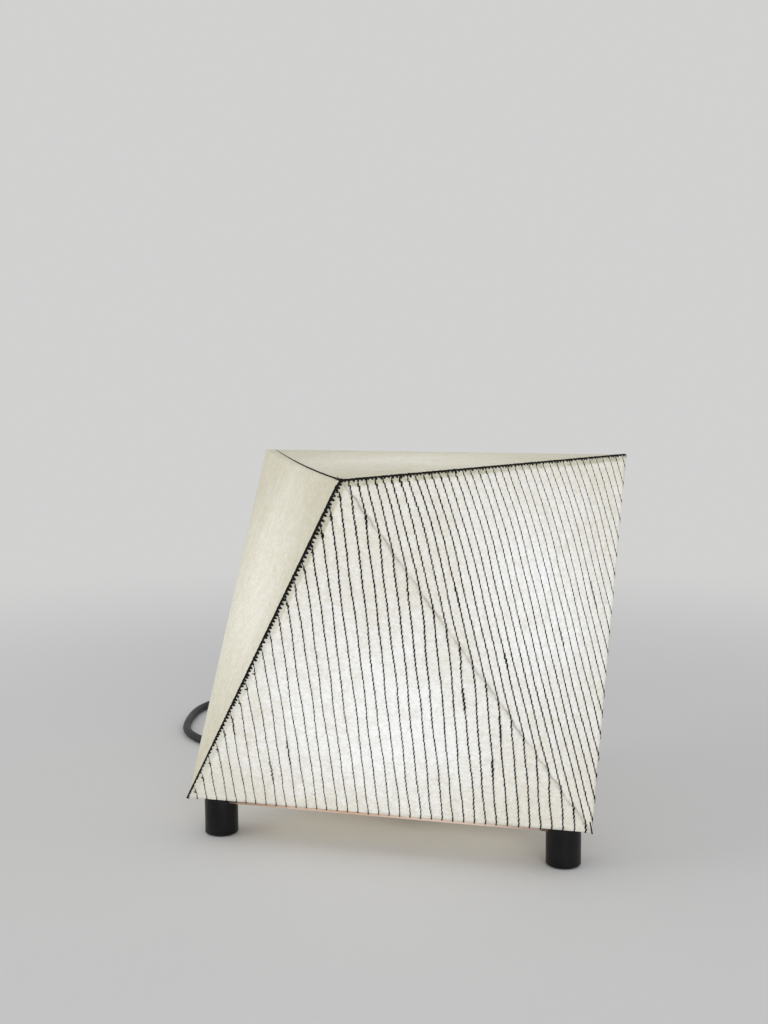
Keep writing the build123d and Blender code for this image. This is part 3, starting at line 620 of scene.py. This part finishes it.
def sheet_piece(name, points, faces, hems, slot, stands_for):
    """Closed paper sheet: the outside given, an inside set in by the thickness, rims and hems."""
    count = len(points)
    inside = shade_middle + (points - shade_middle) * (1 - paper_thickness / face_reach)
    sides = dict.fromkeys((a, b) for face in faces for a, b in zip(face, face[1:] + face[:1]))
    rims = [[b, a, a + count, b + count] for a, b in sides if (b, a) not in sides]
    all_points = np.concatenate([points, inside])
    all_faces = faces + [[index + count for index in reversed(face)] for face in faces] + rims
    for start, end in hems:
        strip, strip_faces = hem(start, end)
        offset = len(all_points)
        all_points = np.concatenate([all_points, strip])
        all_faces += [[index + offset for index in face] for face in strip_faces]
    add_piece(name, all_points, all_faces, slot, stands_for, sharp=80)


# Plain sheet


def soft_wave(x, y, waves):
    """Gentle unevenness of a sheet, from a few waves of (x count, y count, phase)."""
    return sum(np.sin(a * x + b * y + c) for a, b, c in waves) / len(waves)


def plain_sheet():
    """Four faces round the top left corner, with a soft sag where the sheet is closed on itself."""
    share = np.linspace(0, 1, plain_steps + 1)
    points, quads = [], []
    rims = [top_front, base_left, base_rear, top_right, top_front]
    closing_way = unit(top_front - top_left)
    for first, second in zip(rims, rims[1:]):
        out, across = np.meshgrid(share, share, indexing="ij")
        rim_point = first + across[..., None] * (second - first)
        flat = top_left + out[..., None] * (rim_point - top_left)
        inset = np.minimum(np.minimum(out * across, out * (1 - across)), 1 - out)
        fade = np.clip(inset / wave_fade, 0, 1) ** 2
        waves = rng.uniform((8, 8, 0), (40, 40, FULL_TURN), (4, 3))
        wave = soft_wave(flat @ unit(second - first), flat @ unit(first - top_left), waves)
        height = fade * (paper_wave * wave)
        moved = flat + height[..., None] * outward(top_left, first, second)
        along = np.clip((flat - top_left) @ closing_way, 0, edge_length)
        away = np.linalg.norm(flat - top_left - along[..., None] * closing_way, axis=-1)
        on_edge = along / edge_length
        sag = closing_sag * 4 * on_edge * (1 - on_edge)
        moved[..., 2] -= sag * np.exp(-((away / closing_width) ** 2))
        quads.append(grid_quads(plain_steps + 1, plain_steps + 1, sum(len(p) for p in points)))
        points.append(moved.reshape(-1, 3))
    points, faces = welded(np.concatenate(points), np.concatenate(quads)[:, ::-1])
    sheet_piece("plain_sheet", points, faces, [(base_rear, base_left)], "plain_paper", ["plain_shade"])


# Stitched sheet


def on_seam(point):
    """Whether a point is in the plane of the seams between the sheets."""
    return abs((point - top_front) @ seam_normal) < 1e-6


class Panel:
    """One face of the stitched sheet: x across the rows from the lower right corner, y along them."""

    def __init__(self, across, near, far, hooked, lean, slant, fine_corner, finest):
        self.normal = outward(base_right, near, far)
        self.x_way = unit(across)
        self.y_way = np.cross(self.normal, self.x_way)
        self.corners = [np.zeros(2), self.local(near), self.local(far)]
        self.edges = list(zip(self.corners, self.corners[1:] + self.corners[:1]))
        self.seam = [edge for edge in self.edges if all(on_seam(self.point(*end, 0)) for end in edge)][0]
        self.folds = [edge for edge in self.edges if edge is not self.seam]
        self.hooked = hooked
        self.lean = lean
        self.slant = slant
        self.fine_corner = fine_corner
        self.finest = finest

    def local(self, point):
        """Place of a point on the face."""
        return np.array([(point - base_right) @ self.x_way, (point - base_right) @ self.y_way])

    def point(self, x, y, height):
        """Point over the face."""
        x, y, height = (np.asarray(value, float)[..., None] for value in (x, y, height))
        return base_right + x * self.x_way + y * self.y_way + height * self.normal

    def ends(self):
        """The lowest and highest x of the face."""
        xs = [corner_x for corner_x, _ in self.corners]
        return min(xs), max(xs)

    def span(self, x):
        """Where a row at x starts and ends on the face."""
        hits = []
        for (ax, ay), (bx, by) in self.edges:
            if min(ax, bx) - 1e-9 <= x <= max(ax, bx) + 1e-9 and abs(ax - bx) > 1e-9:
                hits.append(ay + (by - ay) * (x - ax) / (bx - ax))
        return min(hits), max(hits)

    def inset(self, x, y, edges):
        """Distance from the nearest of some edges."""
        distances = []
        for start, end in edges:
            way = unit(end - start)
            distances.append(np.abs((x - start[0]) * way[1] - (y - start[1]) * way[0]))
        return np.minimum.reduce(distances)

    def seam_inset(self, x, y):
        """Distance from the edge that is sewn to the plain sheet."""
        return self.inset(x, y, [self.seam])

    def fineness(self, x, y):
        """Share of the thread's thickness: finer toward one corner, bolder at the front one."""
        place = self.point(x, y, 0)
        away = np.linalg.norm(place - self.fine_corner, axis=-1)
        full = np.interp(away, (fine_reach, full_share * edge_length), (0.0, 1.0)) ** fine_power
        bold = np.interp(np.linalg.norm(place - top_front, axis=-1), bold_reach, bold_weights)
        return (self.finest + (1 - self.finest) * full) * bold

    def drift(self, x, y):
        """How far a row strays: it bows out, bends back at the seam, and is in place at a fold."""
        away = self.seam_inset(x, y)
        bow = np.clip(1 - away / bow_reach, 0, 1)
        bend = np.clip(1 - away / bend_reach, 0, 1) ** bend_power
        ends = np.clip((x - self.seam[0][0]) / drift_start, 0, 1)
        ends = ends * np.clip(self.inset(x, y, self.folds) / drift_end, 0, 1)
        return self.lean * (bend_share * bend - bow) * ends

    def height(self, x, y):
        """Quilting between the rows, which ends at the face's edges."""
        swell = 0.5 + 0.5 * np.cos(FULL_TURN * (x - self.drift(x, y)) / row_spacing)
        uneven = 0.75 + 0.25 * np.sin(170 * y + 60 * x)
        fade = np.clip(self.inset(x, y, self.edges) / quilt_fade, 0, 1) ** 2
        return quilt_height * swell * uneven * fade


front_panel = Panel(
    across=base_right - base_left,
    near=base_left,
    far=top_front,
    hooked=True,
    lean=0.0,
    slant=1.0,
    fine_corner=base_left,
    finest=0.62,
)
right_panel = Panel(
    across=top_right - top_front,
    near=top_front,
    far=top_right,
    hooked=False,
    lean=-3.5 * MM,
    slant=1.35,
    fine_corner=top_right,
    finest=0.52,
)
rear_panel = Panel(
    across=base_rear - base_right,
    near=top_right,
    far=base_rear,
    hooked=True,
    lean=0.0,
    slant=1.35,
    fine_corner=top_right,
    finest=0.52,
)
panels = [front_panel, right_panel, rear_panel]


def stitched_sheet():
    """Three faces round the lower right corner, quilted a little by the rows."""
    share = np.linspace(0, 1, stitched_steps + 1)
    step = row_spacing / row_columns
    points, quads = [], []
    for panel in panels:
        low, high = panel.ends()
        inner = np.arange(math.ceil(low / step), math.floor(high / step) + 1) * step
        corner_xs = [corner_x for corner_x, _ in panel.corners]
        columns = np.unique(np.round(np.concatenate([inner, corner_xs]), 7))
        columns = np.delete(columns, np.nonzero(np.diff(columns) < 0.1 * MM)[0])
        columns[0], columns[-1] = low, high
        spans = np.array([panel.span(x) for x in columns])
        x = np.repeat(columns[:, None], stitched_steps + 1, axis=1)
        y = spans[:, :1] + share[None] * (spans[:, 1:] - spans[:, :1])
        quads.append(grid_quads(len(columns), stitched_steps + 1, sum(len(p) for p in points)))
        points.append(panel.point(x, y, panel.height(x, y)).reshape(-1, 3))
    points, faces = welded(np.concatenate(points), np.concatenate(quads)[:, ::-1])
    hems = [(base_left, base_right), (base_right, base_rear)]
    sheet_piece("stitched_sheet", points, faces, hems, "stitched_paper", ["stitched_shade"])


def edge_kind(panel, x, y):
    """What the edge at a row's end is: a seam, a fold, or the lower hem."""
    point = panel.point(x, y, 0)
    if on_seam(point):
        return "seam"
    return "hem" if point[2] < sheet_low.z + 1e-6 else "fold"


def row_path(panel, x):
    """Stitches of one row: a saw-tooth line that dips into the paper at each needle hole."""
    low, high = panel.span(x)
    kinds = [edge_kind(panel, x, y) for y in (low, high)]
    start, end = low + row_margins[kinds[0]], high - row_margins[kinds[1]]
    if end - start < shortest_row:
        return None
    phases = rng.uniform(0, FULL_TURN, 3)
    count = max(1, round((end - start) / stitch_length))
    holes = np.linspace(start, end, count + 1)
    holes[1:-1] += rng.normal(0, hole_scatter, count - 1)
    y = (holes[:-1, None] + stitch_bites[None] * np.diff(holes)[:, None]).reshape(-1)
    turn = np.tile(stitch_bites, count)
    wander = np.sin(wander_waves[0] * y + phases[0]) + 0.5 * np.sin(wander_waves[1] * y + phases[1])
    wander *= row_wander * np.clip(np.minimum(y - low, high - y) / wander_fade, 0, 1)
    jitter = np.repeat(rng.normal(0, stitch_jitter, count), len(stitch_bites))
    weight = rng.uniform(0.88, 1.12, count)
    fuzzy = np.zeros(count)
    if count > 12 and rng.random() < fuzzy_chance:
        thick = rng.integers(0, count)
        fuzzy[thick:thick + rng.integers(3, 8)] = 1
        weight *= 1 + fuzzy * rng.uniform(0.2, 0.5)
    for kind, at in zip(kinds, (low, high)):
        if kind == "fold":
            weight *= 1 + rng.uniform(0.0, 0.4) * np.exp(-(((holes[1:] - at) / fold_reach) ** 2))
    weight = np.repeat(weight, len(stitch_bites)) * panel.fineness(x, y)
    fuzzy = np.repeat(fuzzy, len(stitch_bites))
    hook = panel.drift(x, y)
    if "seam" in kinds:
        inset = panel.seam_inset(x, y)
        weight[inset < 0.85 * seam_allowance] *= 0.78
        knot = np.abs(inset - rng.uniform(0.9, 1.15) * seam_allowance)
        weight[knot < rng.uniform(0.4, 0.9) * MM] *= rng.uniform(1.2, 1.7)
        if panel.hooked:
            hook = np.sign(x) * np.clip(1 - inset / (1.2 * seam_allowance), 0, 1) ** 2
            hook *= rng.uniform(0.2, 2.2) * MM
    slant = rng.uniform(0.4, 0.75) * panel.slant * MM
    sideways = x + wander + jitter + hook + slant * (turn - 0.5) * weight
    crown = np.sin(math.pi * turn)
    lift = stitch_dip + stitch_rise * crown
    radii = thread_radius * weight * (0.62 + 0.42 * crown)
    return sideways, y, lift, radii, kinds, fuzzy


def add_drop(threads, panel, x, y):
    """Thread from the end of a row, down over the lower edge."""
    drop = np.linspace(0, 1, 5)
    path_y = y - drop * rng.uniform(0.3, 0.9) * MM
    lift = (0.16 - 0.1 * drop) * MM
    radii = thread_radius * np.linspace(1.0, 1.2, len(drop))
    threads.add(panel.point(np.full(len(drop), x), path_y, lift), radii, panel.normal)


def add_tie(threads, panel, x, y):
    """Short thread that ties a row to the seam, across the doubled paper."""
    spot = np.argmin(np.abs(panel.seam_inset(x, y) - rng.uniform(0.9, 1.15) * seam_allowance))
    reach = np.linspace(0, 1, 6)
    across = x[spot] + np.sign(x[spot]) * reach * rng.uniform(1.0, 2.0) * MM
    rise = y[spot] + (0.5 * reach ** 2 - 0.25 * reach) * MM
    lift = np.full(len(reach), 0.14 * MM)
    radii = thread_radius * np.linspace(1.1, 0.55, len(reach))
    threads.add(panel.point(across, rise, lift), radii, panel.normal)


def add_hair(threads, panel, x, y, lift):
    """Loose hair of a stitch."""
    side = rng.choice([-1, 1])
    reach = np.linspace(0, 1, 4)
    hair_x = x + side * reach * rng.uniform(0.5, 1.1) * MM
    hair_y = y + (reach + 0.4 * reach ** 2) * rng.uniform(-0.8, 0.8) * MM
    threads.add(panel.point(hair_x, hair_y, lift + 0.1 * MM * reach), hair_radius, panel.normal)


def stitch_rows():
    """Every row of stitching on the three faces, with its ends and a few loose hairs."""
    threads = Threads()
    for panel in panels:
        low, high = panel.ends()
        for number in range(math.floor(low / row_spacing), math.ceil(high / row_spacing)):
            x = (number + 0.5) * row_spacing
            made = row_path(panel, x) if low < x < high else None
            if made is None:
                continue
            sideways, y, lift, radii, kinds, fuzzy = made
            threads.add(panel.point(sideways, y, lift), radii, panel.normal)
            if kinds[0] == "hem":
                add_drop(threads, panel, sideways[0], y[0])
            if panel.hooked and "seam" in kinds and rng.random() < tie_chance:
                add_tie(threads, panel, sideways, y)
            for spot in [*rng.integers(0, len(y), rng.integers(0, 5)), *np.nonzero(fuzzy)[0]]:
                add_hair(threads, panel, sideways[spot], y[spot], lift[spot])
    hang = np.linspace(6, -0.8, 9) * MM
    lift = np.full(len(hang), 0.2 * MM)
    threads.add(right_panel.point(0.1 * hang, hang, lift), thread_radius, right_panel.normal)
    threads.piece("stitching", ["stitch_rows"])


# Seams


def edge_seam(name, start, end, plain_normal, panel, last_tooth, overlap, stands_for):
    """Overcast seam: a thread along the edge, and slanted stitches over it onto the stitched face."""
    threads = Threads()
    way = unit(end - start)
    length = np.linalg.norm(end - start)
    face = panel.normal
    crest = unit(plain_normal + face)
    onto_stitched = unit(np.cross(way, face))
    onto_stitched *= np.sign(onto_stitched @ (base_right - (start + end) / 2))
    onto_plain = unit(np.cross(way, plain_normal))
    onto_plain *= np.sign(onto_plain @ (top_left - (start + end) / 2))
    along = np.linspace(seam_start, length - seam_start, int(length / seam_step))
    lumps = rng.normal(0, 0.08 * MM, (len(along), 1)) * crest
    lumps = lumps + rng.normal(0, 0.1 * MM, (len(along), 1)) * onto_plain
    stand = np.interp(along, [0, 5 * MM, length], [0.3 * overlap, overlap, 0.25 * overlap])
    core = start + along[:, None] * way + 0.25 * MM * crest + lumps - stand[:, None] * onto_stitched
    slim = np.interp(along, [0, length], [1.0, 0.75]) + 0.3 * stand / MM
    threads.add(core, seam_radius * slim * rng.uniform(0.85, 1.15, len(along)), crest)
    square = face + 0.2 * plain_normal
    place = first_tooth
    while place < length - tooth_end:
        fade = np.interp(place / length, (0, 0.7, 0.87), (1, 0.85, last_tooth))
        clump = 1.5 if rng.random() < clump_chance else 1.0
        tooth = onto_stitched * (seam_tooth * rng.uniform(0.6, 1.3) * fade * clump)
        slant = seam_pitch * rng.uniform(0.5, 0.75)
        spot = start + place * way
        off = spot - onto_stitched * np.interp(place, along, stand)
        path = [
            spot + onto_plain * 0.62 * MM + plain_normal * 0.1 * MM,
            off + onto_plain * 0.4 * MM + plain_normal * 0.4 * MM + way * 0.15 * slant,
            off + crest * 0.6 * MM + way * 0.4 * slant,
            spot + tooth * 0.45 + face * 0.42 * MM + way * 0.65 * slant,
            spot + tooth * 0.8 + face * 0.28 * MM + way * 0.88 * slant,
            spot + tooth + face * 0.02 * MM + way * slant,
        ]
        radii = tooth_radius * np.array([0.7, 1.0, 1.1, 1.1, 1.0, 0.7])
        threads.add(path, radii * rng.uniform(0.85, 1.2) * fade ** 0.3 * clump ** 0.7, square)
        back = [
            spot + tooth * 0.95 + face * 0.05 * MM + way * slant,
            spot + tooth * 0.5 + face * 0.3 * MM + way * (slant + 0.1 * MM),
            spot + crest * 0.25 * MM + way * (slant + 0.3 * MM),
        ]
        threads.add(back, back_radius * np.array([0.7, 0.95, 1.1]), square)
        for _ in range(rng.integers(0, 2)):
            lean = crest * rng.uniform(0.1, 0.8) + onto_stitched * rng.uniform(-0.3, 1.0)
            lean = unit(lean + way * rng.uniform(-1, 1)) * rng.uniform(0.7, 1.6) * MM
            hair = spot + crest * 0.5 * MM + np.linspace(0, 1, 4)[:, None] * lean
            threads.add(hair, seam_hair_radius, way + 0.3 * crest)
        place += seam_pitch * rng.uniform(0.75, 1.25)
    threads.piece(name, stands_for)


def closing_seam():
    """Fine seam where the plain sheet meets itself; it ends a little beside the corner."""
    threads = Threads()
    share = np.linspace(0.004, 0.992, closing_points)
    ending = top_left + unit(top_right - top_left) * closing_shift
    line = top_front + share[:, None] * (ending - top_front)
    on_edge = 1 - np.linalg.norm(line - top_front, axis=1) / edge_length
    line[:, 2] -= closing_sag * 4 * on_edge * (1 - on_edge) * 0.9
    line[:, 2] += closing_lift
    across = unit(np.cross(ending - top_front, (0, 0, 1)))
    side = np.where(np.arange(closing_points) % 2 == 0, 1.0, -1.0)[:, None]
    line += across * side * closing_tooth + rng.normal(0, 0.04 * MM, (closing_points, 3))
    radii = np.interp(share, (0, 0.4, 1), closing_radii) * MM
    threads.add(line, radii * rng.uniform(0.8, 1.2, closing_points), (0, 0, 1))
    threads.piece("closing_stitches", ["closing_seam"])


def corner_knot(name, at, loops, widest):
    """Knot of thread at the end of a seam, with three tails."""
    threads = Threads()
    out = unit(at - shade_middle)
    angles = np.linspace(0, 1.7 * math.pi, 20)[:, None]
    for _ in range(loops):
        axis = unit(out + rng.normal(0, 0.5, 3))
        first = unit(np.cross(axis, rng.normal(0, 1, 3)))
        second = np.cross(axis, first)
        size = rng.uniform(0.6, 1.0) * widest
        centre = at + out * rng.uniform(-0.1, 0.5) * MM
        loop = centre + size * (np.cos(angles) * first + np.sin(angles) * second)
        threads.add(loop, 0.36 * MM, axis)
    share = np.linspace(0, 1, 6)[:, None]
    for _ in range(3):
        way = unit(out + rng.normal(0, 0.8, 3))
        bend = rng.normal(0, 0.6, 3) * MM
        tail = at + way * share * 1.1 * widest + bend * share ** 2
        threads.add(tail, 0.16 * MM, np.cross(way, (0.3, 0.5, 0.8)))
    threads.piece(name, [])


plain_sheet()
stitched_sheet()
stitch_rows()
edge_seam(
    "front_left_stitches",
    top_front,
    base_left,
    plain_normal=outward(top_left, top_front, base_left),
    panel=front_panel,
    last_tooth=0.25,
    overlap=0.9 * MM,
    stands_for=["front_left_seam"],
)
edge_seam(
    "top_front_stitches",
    top_front,
    top_right,
    plain_normal=outward(top_left, top_front, top_right),
    panel=right_panel,
    last_tooth=0.75,
    overlap=0.0,
    stands_for=["top_front_seam"],
)
edge_seam(
    "rear_right_stitches",
    top_right,
    base_rear,
    plain_normal=outward(top_left, base_rear, top_right),
    panel=rear_panel,
    last_tooth=0.75,
    overlap=0.0,
    stands_for=["rear_right_seam"],
)
closing_seam()
corner_knot("corner_knot", top_front, loops=5, widest=1.2 * MM)
corner_knot("lower_knot", base_left, loops=3, widest=0.8 * MM)


# Cord, with its points in millimetres

cord_diameter = 6.0 * MM
lead_points = [
    (-4.997, 40.694, 31.0),
    (-6.825, 55.582, 31.0),
    (-8.8, 71.5, 24.5),
    (-10.5, 85.4, 15.0),
    (-12.2, 99.3, 7.6),
    (-22, 114, 4.2),
    (-42, 126, 3.1),
    (-72, 131, 3.1),
    (-110, 126, 3.1),
    (-150, 115, 3.1),
    (-190, 113, 3.1),
    (-222, 140, 3.1),
    (-235, 178, 3.1),
    (-241, 214, 3.1),
    (-230, 253, 3.1),
    (-205, 284, 3.1),
    (-180, 293.5, 5.2),
    (-158, 294, 9.0),
    (-141, 294, 9.0),
]
tail_points = [
    (-99, 294, 9.0),
    (-84, 294, 9.0),
    (-62, 293.4, 6.8),
    (-46, 293.15, 4.5),
    (-31, 293.15, 4.5),
]
plug_points = [
    (-31, 206.85, 11.1),
    (-41, 206.85, 11.1),
    (-53, 207.65, 8.95),
    (-66, 206.85, 6.8),
    (-76, 206.85, 6.8),
]
coil_centre = (-25.0, 250.0)
coil_middle_radius = 34.0
coil_turns = 5.5
coil_pitch = 6.6
coil_climb_turns = 0.5
coil_height = 4.5
coil_steps = 24


def coil_points():
    """Turns of the coil: it spirals in on the table, climbs a layer and spirals out on top."""
    half = coil_turns / 2
    inner = coil_middle_radius - coil_pitch * half / 2
    points = []
    for step in range(int(coil_turns * coil_steps) + 1):
        turn = step / coil_steps
        angle = math.radians(90 - 360 * turn)
        radius = inner + coil_pitch * abs(turn - half)
        climb = min(max((turn - half) / coil_climb_turns + 0.5, 0), 1)
        x = coil_centre[0] + radius * math.cos(angle)
        y = coil_centre[1] + radius * math.sin(angle)
        points.append((x, y, coil_height + coil_pitch * (1 - math.cos(math.pi * climb)) / 2))
    return points


def cord_piece(name, points, stands_for):
    """Round cord along a smooth line with these points."""
    curve = bpy.data.curves.new(name, "CURVE")
    curve.dimensions = "3D"
    curve.bevel_depth = cord_diameter / 2
    curve.bevel_resolution = 6
    curve.resolution_u = 8
    curve.use_fill_caps = True
    spline = curve.splines.new("NURBS")
    spline.points.add(len(points) - 1)
    for control, point in zip(spline.points, points):
        control.co = (*[value * MM for value in point], 1)
    spline.order_u = 3
    spline.use_endpoint_u = True
    curve.materials.append(materials["cord_rubber"])
    piece = bpy.data.objects.new(name, curve)
    bpy.context.scene.collection.objects.link(piece)
    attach(piece, "lamp")
    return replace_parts(piece, *stands_for)


lead = cord_piece("lead", lead_points, ["lead_cord"])
coiled = cord_piece(
    "coiled_lead", tail_points + coil_points() + plug_points, ["switch_tail", "cord_coil", "plug_lead"]
)


# Stage, lights and camera

backdrop = (0.64, 0.64, 0.635)
surround = (0.97, 0.98, 1.0)
surround_strength = 0.62
floor_reach = 6.0
floor_fade = (0.3, 1.15)


def floor():
    """Plain pale floor that runs into the backdrop, and doesn't hide the lamp from below."""
    mesh = bpy.data.meshes.new("floor")
    far = floor_reach
    corners = [(-far, -far, 0), (far, -far, 0), (far, far, 0), (-far, far, 0)]
    mesh.from_pydata(corners, [], [(0, 1, 2, 3)])
    shade = Shader("floor", Roughness=0.75, Specular_IOR_Level=0.1)
    tone = shade.noise(3, 3, 0.5)
    pale = shade.ramp(tone, (0.3, (0.74, 0.735, 0.725)), (0.7, (0.76, 0.755, 0.745)))
    shade.set("Base Color", pale)
    away = shade.between(shade.distance((0, 0, 0)), *floor_fade, smooth=True)
    haze = shade.node("ShaderNodeEmission", {"Color": (*backdrop, 1)}).outputs["Emission"]
    lit = shade.surface.outputs["BSDF"]
    faded = shade.node("ShaderNodeMixShader", {0: away, 1: lit, 2: haze}).outputs["Shader"]
    below = shade.node("ShaderNodeNewGeometry").outputs["Backfacing"]
    clear = shade.node("ShaderNodeBsdfTransparent").outputs["BSDF"]
    either = shade.node("ShaderNodeMixShader", {0: below, 1: faded, 2: clear}).outputs["Shader"]
    shade.tree.links.new(either, shade.tree.nodes["Material Output"].inputs["Surface"])
    mesh.materials.append(shade.material)
    made = bpy.data.objects.new("floor", mesh)
    bpy.context.scene.collection.objects.link(made)


def soft_light(name, place, size, power):
    """Large area light that faces the lamp."""
    light = bpy.data.lights.new(name, "AREA")
    light.shape = "DISK"
    light.size = size
    light.energy = power
    made = bpy.data.objects.new(name, light)
    made.location = place
    made.rotation_mode = "QUATERNION"
    made.rotation_quaternion = (Vector(shade_middle) - Vector(place)).to_track_quat("-Z", "Y")
    bpy.context.scene.collection.objects.link(made)


def studio():
    """Even pale surround, plain backdrop, a soft key from the front right and a fill from the left."""
    world = bpy.data.worlds.new("studio")
    bpy.context.scene.world = world
    world.use_nodes = True
    tree = world.node_tree
    around = tree.nodes["Background"]
    around.inputs["Color"].default_value = (*surround, 1)
    around.inputs["Strength"].default_value = surround_strength
    behind = tree.nodes.new("ShaderNodeBackground")
    behind.inputs["Color"].default_value = (*backdrop, 1)
    rays = tree.nodes.new("ShaderNodeLightPath")
    seen = rays.outputs["Is Camera Ray"]
    for kind in ("Is Glossy Ray", "Is Transmission Ray"):
        larger = tree.nodes.new("ShaderNodeMath")
        larger.operation = "MAXIMUM"
        tree.links.new(seen, larger.inputs[0])
        tree.links.new(rays.outputs[kind], larger.inputs[1])
        seen = larger.outputs[0]
    either = tree.nodes.new("ShaderNodeMixShader")
    tree.links.new(seen, either.inputs[0])
    tree.links.new(around.outputs["Background"], either.inputs[1])
    tree.links.new(behind.outputs["Background"], either.inputs[2])
    tree.links.new(either.outputs["Shader"], tree.nodes["World Output"].inputs["Surface"])
    soft_light("key", (1.02, -1.83, 0.34), size=1.2, power=16.5)
    soft_light("fill", (-1.7, -0.8, 0.5), size=1.4, power=7.0)


def photo_camera():
    """Camera at the photograph's place."""
    lens = bpy.data.cameras.new("camera")
    lens.lens = camera_lens
    lens.sensor_width = camera_sensor
    made = bpy.data.objects.new("camera", lens)
    made.location = camera_place
    made.rotation_mode = "QUATERNION"
    roll = Quaternion((0, 0, 1), math.radians(camera_roll))
    made.rotation_quaternion = Vector(camera_way).to_track_quat("-Z", "Y") @ roll
    bpy.context.scene.collection.objects.link(made)
    bpy.context.scene.camera = made


floor()
studio()
photo_camera()
bpy.context.scene.view_settings.view_transform = "Standard"
